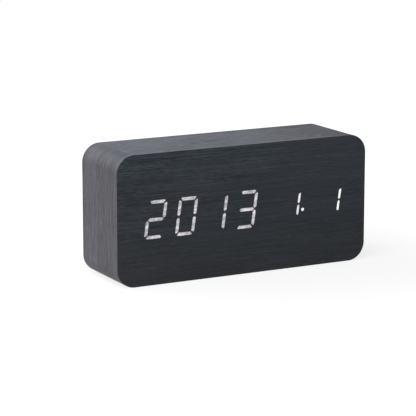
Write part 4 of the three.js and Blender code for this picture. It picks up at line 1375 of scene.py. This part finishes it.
@dataclass
class RearCover:
    """The moulded rear cover and the raised signs beside its controls."""

    edge: float = 0.22
    sign_height: float = 0.16
    sign_sink: float = 0.05
    sign_size: float = 1.15
    key_sign_rise: float = 6.4
    switch_sign_rise: float = 3.2
    switch_travel: float = 2.0
    ring_steps: int = 20
    bar_width: float = 0.4
    bar_corner: float = 0.1
    bar_rise: float = 4.6
    bar_pitch: float = 1.33
    bar_length: float = 0.69
    short_bars: int = 3

    def build(self) -> None:
        """Makes the cover with its signs."""
        cover = Shape.of_node("rear_cover").soften(self.edge)
        for sign in self.signs():
            cover.merge(sign.dye())
        cover.place("rear_cover_moulding", Slot.COVER, "rear_cover", others=(Slot.SOCKET,))

    def signs(self) -> list[Shape]:
        """Makes the raised signs: a square, two arrows, an off ring, an on dot and a direct-current sign.

        Returns:
            The signs, in their places.
        """
        size = self.sign_size
        square = Shape.disc(size, SQUARE).rotate(EIGHTH_TURN, Axis.Y)
        up = Shape.disc(size, TRIANGLE)
        down = Shape.disc(size, TRIANGLE).rotate(HALF_TURN, Axis.Y)
        pairs = zip(KEYS, (square, up, down))
        made = [self.raise_sign(sign, f"{key}_button", 0.0, self.key_sign_rise) for key, sign in pairs]
        return made + self.switch_signs() + self.current_sign()

    def raise_sign(self, sign: Shape, node: str, right: float, up: float) -> Shape:
        """Gives a flat sign its height and sets it on the cover.

        Args:
            sign: A flat face at the origin.
            node: CAD node that it is placed from.
            right: Distance along X from the middle of the node.
            up: Distance along Z from the middle of the node.

        Returns:
            The raised sign.
        """
        spot = extent(node)[2]
        rear = extent("rear_cover")[1].y
        sign.thicken(self.sign_height + self.sign_sink)
        return sign.move(spot.x + right, rear - self.sign_sink, spot.z + up)

    def switch_signs(self) -> list[Shape]:
        """Makes the dot and the ring that show the two ends of the sound switch.

        Returns:
            Both signs, in their places.
        """
        radius = self.sign_size / 2
        steps = self.ring_steps
        hole = Shape.disc(radius - self.bar_width / 2, steps).open_face()
        ring = Shape.disc(radius, steps).open_face().merge(hole).fill()
        places = ((ring, -radius), (Shape.disc(radius, steps), self.switch_travel + radius))
        rise = self.switch_sign_rise
        return [self.raise_sign(sign, "sound_switch_knob", right, rise) for sign, right in places]

    def current_sign(self) -> list[Shape]:
        """Makes a long bar above three short ones, the general sign for direct current.

        Returns:
            The bars, in their places.
        """
        rise = self.bar_rise
        bars = [(0.0, rise + 2 * self.bar_width, 2 * self.bar_pitch + self.bar_length)]
        bars += [(right, rise, self.bar_length) for right in row(0.0, self.short_bars, self.bar_pitch)]
        made = []
        for right, up, length in bars:
            bar = Shape.plate(length, self.bar_width, self.bar_corner, steps=2)
            made.append(self.raise_sign(bar, "power_socket", right, up))
        return made


@dataclass
class Fasteners:
    """Cross-head screws with a threaded shank, their crosses turned as a hand left them."""

    # Name, number and turn of the heads away from the back of the clock.
    groups: tuple[tuple[str, int, float], ...] = (
        ("cover", 4, 0.0), ("board", 4, 0.0), ("key_board", 2, HALF_TURN)
    )
    shank: float = 1.1
    thread_depth: float = 0.25
    thread_pitch: float = 0.8
    turn: float = math.radians(37.0)
    # Radius and place along the screw.
    head: tuple[Span, ...] = ((2.3, 0.0), (2.3, 0.6), (2.12, 1.0), (1.65, 1.32), (1.0, 1.47), (0.0, 1.5))
    # Length, width and depth.
    cross: tuple[float, float, float] = (2.7, 0.62, 0.9)

    def build(self) -> None:
        """Makes the screws of the rear cover and of the two boards; the key board's face the front."""
        for group, count, facing in self.groups:
            for number in range(1, count + 1):
                self.screw(f"{group}_screw_{number}", self.turn * number, facing)

    def screw(self, node: str, turn: float, facing: float) -> None:
        """Makes one screw.

        Args:
            node: CAD node of the screw.
            turn: Turn of its cross.
            facing: Turn of its head away from the back of the clock.
        """
        low, high, spot = extent(node)
        top = self.head[-1][1]
        tip = top - (high.y - low.y)
        made = Shape.lathe(((0.0, tip), *self.thread(tip), (self.shank, 0.0), *self.head))
        length, width, depth = self.cross
        for x, z in ((length, width), (width, length)):
            made.cut(Shape.block(around(0.0, x), around(top, 2 * depth), around(0.0, z)))
        made.move(y=-(top + tip) / 2).rotate(turn, Axis.Y).rotate(facing, Axis.Z).move(*spot)
        made.place(f"{node}_steel", Slot.STEEL, node)

    def thread(self, tip: float) -> list[Span]:
        """Gives the profile of the thread, from the point to a pitch below the head.

        Args:
            tip: Place of the point along the screw.

        Returns:
            Radius and place of each corner.
        """
        start = tip + self.shank
        pitch = self.thread_pitch
        profile = []
        for turn in range(int(-start / pitch)):
            root = (self.shank - self.thread_depth, start + turn * pitch)
            profile += [root, (self.shank, root[1] + pitch / 2)]
        return profile


@dataclass
class Controls:
    """What a hand or a plug meets on the back: three keys, the sound knob and the power socket."""

    flange_depth: float = 1.0
    cap_radius: float = 3.5
    dish_radius: float = 2.7
    dish_depth: float = 0.2
    dish_curve: float = 0.8
    key_edge: float = 0.35
    key_edge_steps: int = 4
    stem_waist: float = 0.25
    knob_edge: float = 0.15
    grooves: int = 3
    # Width, depth and pitch.
    groove: tuple[float, float, float] = (0.35, 0.3, 0.75)
    socket_body_depth: float = 5.5
    socket_edge: float = 0.3
    nose_radius: float = 3.0
    nose_steps: int = 3
    bore_radius: float = 1.85
    bore_depth: float = 6.5
    pin_radius: float = 0.65
    pin_recess: float = 1.0
    pin_sink: float = 0.2

    def build(self) -> None:
        """Makes all controls."""
        for name, body in KEYS.items():
            self.key(name, body)
            self.plunger(name, body)
        self.sound_knob()
        self.power_socket()

    def key(self, name: str, body: Body) -> None:
        """Makes a round key with a shallow dish for the finger.

        Args:
            name: Name that the key's CAD node starts with.
            body: Body that the key rides on.
        """
        node = f"{name}_button"
        low, high, spot = extent(node)
        height = high.y - low.y
        flange = (high.x - low.x) / 2
        dish_middle = (self.dish_radius / 2, height - self.dish_curve * self.dish_depth)
        cap = Shape.lathe((
            (0.0, 0.0), (flange, 0.0), (flange, self.flange_depth), (self.cap_radius, self.flange_depth),
            (self.cap_radius, height), (self.dish_radius, height), dish_middle,
            (0.0, height - self.dish_depth),
        ))
        cap.soften(self.key_edge, self.key_edge_steps).move(spot.x, low.y, spot.z)
        cap.place(f"{name}_key_cap", Slot.KEY, node, body)

    def plunger(self, name: str, body: Body) -> None:
        """Makes the plunger that a key pushes into its switch, with a waist below the key.

        Args:
            name: Name that the plunger's CAD node starts with.
            body: Body that the plunger rides on.
        """
        node = f"{name}_plunger"
        low, high, spot = extent(node)
        radius = (high.x - low.x) / 2
        waist = radius - self.stem_waist
        stem = Shape.lathe((
            (0.0, low.y), (radius, low.y), (radius, spot.y), (waist, spot.y + self.stem_waist),
            (waist, high.y), (0.0, high.y),
        ))
        stem.soften(self.knob_edge).move(spot.x, 0.0, spot.z)
        stem.place(f"{name}_plunger_stem", Slot.CHIP, node, body)

    def sound_knob(self) -> None:
        """Makes the knob of the sound switch, with grooves across its top."""
        node = "sound_switch_knob"
        low, high, spot = extent(node)
        width, depth, pitch = self.groove
        knob = Shape.of_node(node).soften(self.knob_edge)
        for x in row(spot.x, self.grooves, pitch):
            knob.cut(Shape.block(around(x, width), around(high.y, 2 * depth), (low.z, high.z)))
        knob.place("sound_knob_grip", Slot.KEY, node, Body.SOUND_KNOB)

    def power_socket(self) -> None:
        """Makes the power socket with its round mouth and centre pin."""
        node = "power_socket"
        low, high, spot = extent(node)
        shoulder = low.y + self.socket_body_depth
        floor = high.y - self.bore_depth
        edge = self.socket_edge
        bore = self.bore_radius
        body = Shape.block((low.x, high.x), (low.y, shoulder), (low.z, high.z)).soften(edge)
        barrel = Shape.rod(self.nose_radius, floor, high.y).soften(edge, self.nose_steps)
        hole = Shape.lathe((
            (0.0, floor), (bore, floor), (bore, high.y - edge), (bore + edge, high.y),
            (bore + edge, high.y + edge), (0.0, high.y + edge),
        ))
        body.join(barrel.move(spot.x, 0.0, spot.z)).cut(hole.move(spot.x, 0.0, spot.z))
        radius = self.pin_radius
        foot = floor - self.pin_sink
        tip = high.y - self.pin_recess
        pin = Shape.lathe((
            (0.0, foot), (radius, foot), (radius, tip - radius / 2), (radius / 2, tip), (0.0, tip),
        ))
        body.merge(pin.dye().move(spot.x, 0.0, spot.z))
        body.place("power_socket_moulding", Slot.CHIP, node, others=(Slot.TIN,))


@dataclass
class BatteryCase:
    """The battery door, the four cells behind it and their contacts."""

    door_edge: float = 0.22
    # Width, thickness and height of a rib.
    grip: tuple[float, float, float] = (8.0, 0.6, 0.4)
    grip_edge: float = 0.2
    grip_steps: int = 3
    grip_pitch: float = 1.35
    grip_count: int = 4
    grip_inset: float = 1.6
    arrow_size: float = 2.2
    arrow_drop: float = 11.85
    cells: int = 4
    band_from: float = 13.0
    end_radius: float = 4.35
    # Radius and distance from the end of the cell.
    minus_end: tuple[Span, ...] = (
        (0.0, 0.0), (3.9, 0.0), (4.15, 0.25), (4.55, 0.25), (4.8, 0.06), (5.1, 0.16), (5.25, 0.45)
    )
    plus_end: tuple[Span, ...] = (
        (5.25, 1.55), (5.1, 1.2), (4.75, 1.06), (4.45, 1.16), (4.2, 1.3), (2.15, 1.3), (1.9, 1.1),
        (1.9, 0.15), (1.75, 0.0), (0.0, 0.0)
    )
    # Contact, and the cell that its spring presses on.
    contacts: tuple[tuple[str, str | None], ...] = (
        ("contact_plus", None), ("link_1_2", "battery_1"), ("link_2_3", "battery_2"),
        ("link_3_4", "battery_3"), ("contact_minus", "battery_4"),
    )
    plate: float = 0.4
    plate_edge: float = 0.12
    tab_width: float = 3.0
    tab_rise: float = 1.45
    wire: float = 0.3
    # At the plate and at the cell.
    coil_radius: Span = (3.4, 2.2)
    coil_turns: int = 4
    coil_steps: int = 24
    wire_steps: int = 10
    coil_reach: float = 5.0
    coil_sink: float = 0.1

    def build(self) -> None:
        """Makes the door, the cells and their contacts."""
        self.door()
        for number in range(1, self.cells + 1):
            self.cell(number)
        for node, sprung in self.contacts:
            self.contact(node, sprung)

    def door(self) -> None:
        """Makes the door with the grip on its latch tongue."""
        node = "battery_door"
        _, high, spot = extent(node)
        door = Shape.of_node(node).soften(self.door_edge)
        width, thickness, height = self.grip
        for step in range(self.grip_count):
            z = high.z - self.grip_inset - step * self.grip_pitch
            rib = Shape.block(around(spot.x, width), around(high.y, 2 * height), around(z, thickness))
            door.join(rib.soften(self.grip_edge, self.grip_steps))
        arrow = Shape.disc(self.arrow_size, TRIANGLE).rotate(HALF_TURN, Axis.Y).thicken(2 * height)
        door.join(arrow.move(spot.x, high.y - height, high.z - self.arrow_drop))
        door.place("battery_door_moulding", Slot.COVER, node, Body.DOOR)

    def cell(self, number: int) -> None:
        """Makes one cell, its plus end on the right for the odd ones.

        Args:
            number: Number of the cell.
        """
        node = f"battery_{number}"
        low, high, spot = extent(node)
        length = high.x - low.x
        start = [(radius, along - length / 2) for radius, along in self.minus_end]
        end = [(radius, length / 2 - along) for radius, along in self.plus_end]
        made = Shape.lathe((*start, (start[-1][0], self.band_from), *end))

        def on_sleeve(face: BMFace) -> bool:
            """Tells whether a face belongs to the sleeve."""
            centre = face.calc_center_median()
            return math.hypot(centre.x, centre.z) > self.end_radius

        made.dye(lambda face: not on_sleeve(face), THIRD)
        made.dye(lambda face: on_sleeve(face) and face.calc_center_median().y > self.band_from)
        made.rotate(-QUARTER_TURN if number % 2 else QUARTER_TURN, Axis.Z).move(*spot)
        made.place(f"{node}_cell", Slot.CELL, node, others=(CELL_BAND, Slot.TIN))

    def contact(self, node: str, sprung: str | None) -> None:
        """Makes a contact plate, with a coil spring where it meets a cell's minus end.

        Args:
            node: CAD node of the contact.
            sprung: CAD node of the cell that the spring presses on, if there is one.
        """
        low, high, _ = extent(node)
        bay_left = extent("link_1_2")[0].x
        bay_right = extent("link_2_3")[1].x
        wall, inward = (bay_left, 1.0) if low.x - bay_left < WELD else (bay_right, -1.0)
        face = wall + inward * self.plate
        made = Shape.block((min(wall, face), max(wall, face)), (low.y, high.y), (low.z, high.z))
        made.soften(self.plate_edge)
        if high.x - bay_right > WELD:
            made.join(self.tab(node, bay_right))
        if sprung:
            made.join(self.spring(face, inward, extent(sprung)[2]))
        made.place(f"{node}_plate", Slot.TIN, node)

    def tab(self, node: str, wall: float) -> Shape:
        """Makes the solder tab that leads out of the bay.

        Args:
            node: CAD node of the contact.
            wall: Place of the bay's end wall.

        Returns:
            The tab.
        """
        low, high, spot = extent(node)
        y = around(low.y + self.tab_rise, self.plate)
        tab = Shape.block((wall - self.plate / 2, high.x), y, around(spot.z, self.tab_width))
        return tab.soften(self.plate_edge)

    def spring(self, face: float, inward: float, cell: Vector) -> Shape:
        """Winds a coil spring that narrows towards the cell.

        Args:
            face: Place of the plate's face along X.
            inward: Direction along X from the plate to the cell.
            cell: Middle of the cell.

        Returns:
            The spring.
        """
        base, tip = self.coil_radius
        coil = Shape()
        bmesh.ops.create_circle(coil.mesh, cap_ends=False, radius=self.wire, segments=self.wire_steps)
        coil.move(y=base)
        steps = self.coil_turns * self.coil_steps
        rise = self.coil_reach + self.coil_sink - self.wire
        bmesh.ops.spin(
            coil.mesh, geom=coil.mesh.verts[:] + coil.mesh.edges[:], cent=(0, 0, 0), axis=(1, 0, 0),
            dvec=(rise / steps, 0.0, 0.0), angle=FULL_TURN * self.coil_turns, steps=steps,
        )
        bmesh.ops.holes_fill(coil.mesh, edges=coil.mesh.edges)
        for vert in coil.mesh.verts:
            radius = math.hypot(vert.co.y, vert.co.z)
            inset = (base - tip) * max(0.0, min(1.0, vert.co.x / rise))
            vert.co.yz = vert.co.yz * ((radius - inset) / radius)
        coil.move(-self.coil_sink).transform(Matrix.Diagonal((inward, 1.0, 1.0, 1.0)))
        return coil.move(face, cell.y, cell.z).face_outwards()


@dataclass
class Electronics:
    """What sits on the two boards: chip, crystal, switches, buzzer, microphone and ribbon sockets."""

    edge: float = 0.2
    metal: float = 0.25
    chip_legs: int = 14
    chip_pitch: float = 1.27
    # Height above the board and distance from the body at each bend.
    chip_leg: tuple[Span, ...] = ((1.1, -0.2), (1.1, 0.45), (0.0, 0.8), (0.0, 1.4))
    leg_width: float = 0.42
    # Radius and depth.
    dimple: Span = (0.6, 0.15)
    crimp: float = 0.5
    crystal_steps: int = 3
    crystal_leads: int = 2
    crystal_lead: float = 0.3
    lead_reach: float = 1.0
    # Length and width.
    foot: Span = (1.2, 0.5)
    socket_contacts: int = 10
    socket_pitch: float = 1.0
    key_feet: int = 2
    key_foot_pitch: float = 4.5
    switch_feet: int = 3
    switch_foot_pitch: float = 2.5
    rivets: int = 2
    # Radius and height.
    rivet: Span = (0.45, 0.12)
    rivet_edge: float = 0.06
    rivet_inset: float = 0.9
    can_rim: float = 0.4
    can_edge: float = 0.1
    capsule_edge: float = 0.08
    sound_hole: float = 1.0

    def build(self) -> None:
        """Makes the pieces of both boards."""
        self.chip()
        self.crystal()
        self.socket("main_socket", extent("main_socket")[0].y)
        self.socket("key_socket", extent("key_socket")[1].y - self.metal)
        for key in KEYS:
            self.key_switch(f"{key}_key_switch")
        self.sound_switch()
        self.buzzer()
        self.microphone()

    def chip(self) -> None:
        """Makes the clock chip, with bent legs on both sides and a dimple beside the first one."""
        node = "clock_chip"
        low, high, spot = extent(node)
        body = Shape.of_node(node).soften(self.edge)
        radius, depth = self.dimple
        dimple = Shape.rod(radius, -depth, depth)
        body.cut(dimple.move(low.x + 2 * radius, high.y, low.z + 2 * radius))
        half = (high.z - low.z) / 2
        for side in (-1, 1):
            path = [(rise, side * (half + reach)) for rise, reach in self.chip_leg]
            for x in row(spot.x, self.chip_legs, self.chip_pitch):
                leg = Shape.strip(path, self.leg_width, self.metal)
                body.merge(leg.dye().move(x, low.y, spot.z))
        body.place("clock_chip_package", Slot.CHIP, node, others=(Slot.TIN,))

    def crystal(self) -> None:
        """Makes the quartz crystal: a crimped can with two leads bent down to the board."""
        node = "quartz_crystal"
        low, high, spot = extent(node)
        half = (high.x - low.x) / 2
        radius = (high.z - low.z) / 2
        crimp = self.crimp
        can = Shape.lathe((
            (0.0, -half), (radius, -half), (radius, half - 3 * crimp),
            (radius - crimp / 2, half - 2 * crimp), (radius, half - crimp), (radius, half), (0.0, half),
        ))
        can.soften(self.edge, self.crystal_steps).rotate(-QUARTER_TURN, Axis.Z).move(*spot)
        path = ((radius, -crimp), (radius, self.lead_reach), (0.0, self.lead_reach))
        for z in row(spot.z, self.crystal_leads, radius):
            lead = Shape.strip(path, self.crystal_lead, self.crystal_lead).dye()
            can.merge(lead.rotate(QUARTER_TURN, Axis.Y).move(high.x, low.y, z))
        can.place("quartz_crystal_can", Slot.STEEL, node, others=(Slot.TIN,))

    def add_feet(self, made: Shape, xs: Sequence[float], y: float, zs: Sequence[float]) -> None:
        """Adds the soldered feet of a piece.

        Args:
            made: The piece.
            xs: Places of the feet along X.
            y: Where the feet start along Y.
            zs: Places of the feet along Z.
        """
        long, wide = self.foot
        width, height = (long, wide) if len(xs) <= len(zs) else (wide, long)
        for x in xs:
            for z in zs:
                foot = Shape.block(around(x, width), (y, y + self.metal), around(z, height))
                made.merge(foot.dye())

    def socket(self, node: str, y: float) -> None:
        """Makes a ribbon socket with a row of feet on both sides.

        Args:
            node: CAD node of the socket.
            y: Where the feet start along Y.
        """
        low, high, spot = extent(node)
        made = Shape.of_node(node).soften(self.edge)
        self.add_feet(made, (low.x, high.x), y, row(spot.z, self.socket_contacts, self.socket_pitch))
        made.place(f"{node}_shell", Slot.SOCKET, node, others=(Slot.TIN,))

    def key_switch(self, node: str) -> None:
        """Makes a key switch: a tin cover held by four rivets on a black body with four feet.

        Args:
            node: CAD node of the switch.
        """
        low, high, spot = extent(node)
        made = Shape.of_node(node).soften(self.edge)
        made.dye(lambda face: lies_at(face, Axis.Y, high.y))
        radius, height = self.rivet
        spread = high.x - low.x - 2 * self.rivet_inset
        for x in row(spot.x, self.rivets, spread):
            for z in row(spot.z, self.rivets, spread):
                rivet = Shape.rod(radius, -height, height).soften(self.rivet_edge)
                made.merge(rivet.dye().move(x, high.y, z))
        self.add_feet(made, (low.x, high.x), low.y, row(spot.z, self.key_feet, self.key_foot_pitch))
        made.place(f"{node}_body", Slot.CHIP, node, others=(Slot.TIN,))

    def sound_switch(self) -> None:
        """Makes the sound switch's steel case with three feet on both sides."""
        node = "sound_switch_body"
        low, high, spot = extent(node)
        made = Shape.of_node(node).soften(self.edge)
        places = row(spot.x, self.switch_feet, self.switch_foot_pitch)
        self.add_feet(made, places, low.y, (low.z, high.z))
        made.place("sound_switch_case", Slot.STEEL, node, others=(Slot.TIN,))

    def buzzer(self) -> None:
        """Makes the buzzer's can, with a stepped rim and a sunk ring round its sound hole."""
        node = "buzzer"
        low, high, spot = extent(node)
        radius = (high.x - low.x) / 2
        rim = self.can_rim
        hole = self.sound_hole
        can = Shape.lathe((
            (0.0, low.y), (radius, low.y), (radius, high.y - 2 * rim), (radius - rim, high.y - 2 * rim),
            (radius - rim, high.y), (2 * hole, high.y), (2 * hole, high.y - rim), (hole, high.y - rim),
            (hole, spot.y), (0.0, spot.y),
        ))
        can.soften(self.can_edge).move(spot.x, 0.0, spot.z)
        can.place("buzzer_can", Slot.CHIP, node)

    def microphone(self) -> None:
        """Makes the microphone's capsule, with a rolled rim round a dark felt."""
        node = "microphone"
        low, high, spot = extent(node)
        radius = (high.x - low.x) / 2
        rim = self.can_rim
        felt = high.y - rim / 2
        capsule = Shape.lathe((
            (0.0, low.y), (radius, low.y), (radius, high.y), (radius - rim, high.y), (radius - rim, felt),
            (0.0, felt),
        ))
        capsule.soften(self.capsule_edge).dye(lambda face: lies_at(face, Axis.Y, felt))
        capsule.move(spot.x, 0.0, spot.z)
        capsule.place("microphone_capsule", Slot.STEEL, node, others=(Slot.CHIP,))


@dataclass
class Wiring:
    """The battery leads and the ribbon between the two boards."""

    conductors: int = 10
    groove: float = 0.14
    lead_edge: float = 0.14

    def build(self) -> None:
        """Makes the leads and the ribbon."""
        for slot in (Slot.RED_LEAD, Slot.BLACK_LEAD):
            Shape.of_node(slot.value).soften(self.lead_edge).place(f"{slot.value}_wire", slot, slot.value)
        self.ribbon()

    def ribbon(self) -> None:
        """Makes the ribbon, with a groove between its conductors."""
        node = "ribbon_cable"
        low, high, _ = extent(node)
        made = Shape.of_node(node)
        pitch = (high.z - low.z) / self.conductors
        grooves = [low.z + step * pitch for step in range(1, self.conductors)]
        for z in grooves:
            geometry = made.mesh.verts[:] + made.mesh.edges[:] + made.mesh.faces[:]
            bmesh.ops.bisect_plane(made.mesh, geom=geometry, plane_co=(0, 0, z), plane_no=(0, 0, 1))
        made.mesh.normal_update()
        for vert in made.mesh.verts:
            if any(abs(vert.co.z - z) < WELD for z in grooves):
                vert.co -= vert.normal * self.groove
        made.place("ribbon_cable_strip", Slot.RIBBON, node)


@dataclass
class PlainParts:
    """The CAD nodes that no piece stands for: they keep their shapes and get a better finish."""

    def build(self) -> None:
        """Gives each of them the finish that the record names for it."""
        for part in frame["record"]["subparts"]:
            node = frame["nodes"][part["node"]]
            if not node.hide_render:
                node.material_slots[0].material = material_of(Slot(part["material_slot"]))
                LOG.info("%s: CAD node in %s", part["node"], part["material_slot"])


def towards(azimuth: float, elevation: float) -> Vector:
    """Gives the direction from the clock to a place around it.

    Args:
        azimuth: Degrees to the right of straight in front.
        elevation: Degrees above the table.

    Returns:
        A vector of length one.
    """
    turn = math.radians(azimuth)
    tilt = math.radians(elevation)
    return Vector((math.sin(turn) * math.cos(tilt), -math.cos(turn) * math.cos(tilt), math.sin(tilt)))


@dataclass(frozen=True)
class Lamp:
    """A square soft lamp that faces the clock: angles in degrees, lengths in metres, power in watts."""

    name: str
    azimuth: float
    elevation: float
    distance: float
    size: float
    power: float
    colour: Colour = PLAIN

    def build(self, target: Vector) -> None:
        """Adds the lamp to the scene.

        Args:
            target: Point that it faces.
        """
        light = bpy.data.lights.new(self.name, "AREA")
        light.size = self.size
        light.energy = self.power
        light.color = self.colour
        lamp = bpy.data.objects.new(self.name, light)
        back = towards(self.azimuth, self.elevation)
        lamp.location = target + back * self.distance
        lamp.rotation_euler = back.to_track_quat("Z", "Y").to_euler()
        bpy.context.scene.collection.objects.link(lamp)


@dataclass(frozen=True)
class Studio:
    """A white table and soft light, brightest from the upper left."""

    table: WhiteTable = WhiteTable("white table")
    table_size: float = 12.0
    table_drop: float = 0.0001
    ambient: float = 0.2
    lamps: tuple[Lamp, ...] = (
        Lamp("key_lamp", -118.0, 28.0, distance=0.6, size=0.4, power=3.0, colour=(1.0, 0.86, 0.83)),
        Lamp("back_lamp", -155.0, 30.0, distance=0.4, size=0.3, power=1.05, colour=(0.76, 0.91, 1.0)),
        Lamp("top_lamp", -45.0, 52.0, distance=0.45, size=0.35, power=2.4, colour=(0.967, 0.967, 1.0)),
        Lamp("fill_lamp", 110.0, 20.0, distance=0.8, size=0.6, power=1.5),
    )

    def build(self) -> None:
        """Adds the table, the lamps and the surroundings."""
        bpy.context.scene.view_settings.view_transform = "Standard"
        self.table_top()
        self.surroundings()
        for lamp in self.lamps:
            lamp.build((CAD_BOX[0] + CAD_BOX[1]) / 2)

    def table_top(self) -> None:
        """Adds the table top, a hair below the clock."""
        top = Shape()
        bmesh.ops.create_grid(top.mesh, x_segments=1, y_segments=1, size=self.table_size / 2)
        table = top.move(z=-self.table_drop).holder("table_top")
        table.data.materials.append(self.table.make())

    def surroundings(self) -> None:
        """Sets white surroundings and the weak soft light that comes from them."""
        world = bpy.data.worlds.new("studio")
        world.use_nodes = True
        bpy.context.scene.world = world
        graph = Graph(world.node_tree)
        white = graph.tree.nodes["Background"]
        white.inputs["Color"].default_value = opaque(PLAIN)
        white.inputs["Strength"].default_value = 1.0
        soft = graph.add("ShaderNodeBackground", {"Strength": self.ambient})
        graph.show(graph.choose(graph.rays(*Ray), soft.outputs[0], white.outputs[0]), "World Output")


@dataclass(frozen=True)
class PhotoCamera:
    """The camera of the photograph, from a fit to the block's outline: its lengths are in millimetres."""

    azimuth: float = -27.801
    elevation: float = 11.852
    distance: float = 1078.454
    shift_right: float = -9.526
    shift_up: float = -3.012
    focal_pixels: float = 1993.719
    picture_pixels: float = 416.0
    sensor: float = 36.0

    def build(self) -> None:
        """Adds the camera to the scene."""
        turn = math.radians(self.azimuth)
        back = towards(self.azimuth, self.elevation)
        right = Vector((math.cos(turn), math.sin(turn), 0.0))
        up = back.cross(right)
        centre = (CAD_BOX[0] + CAD_BOX[1]) / 2
        spot = centre + (back * self.distance + right * self.shift_right + up * self.shift_up) * MM
        lens = bpy.data.cameras.new("photo_camera")
        lens.sensor_width = self.sensor
        lens.lens = self.focal_pixels * self.sensor / self.picture_pixels
        camera = bpy.data.objects.new("photo_camera", lens)
        pose = Matrix((right, up, back)).transposed().to_4x4()
        camera.matrix_world = Matrix.Translation(spot) @ pose
        bpy.context.scene.collection.objects.link(camera)
        bpy.context.scene.camera = camera


def main() -> None:
    """Builds the camera, the clock's pieces and the studio."""
    logging.basicConfig(level=logging.INFO, format="%(message)s")
    parts = (FilmCover, RearCover, Fasteners, Controls, BatteryCase, Electronics, Wiring, PlainParts)
    for kind in (PhotoCamera, *parts, Studio):
        kind().build()


if __name__ == "__main__":
    main()
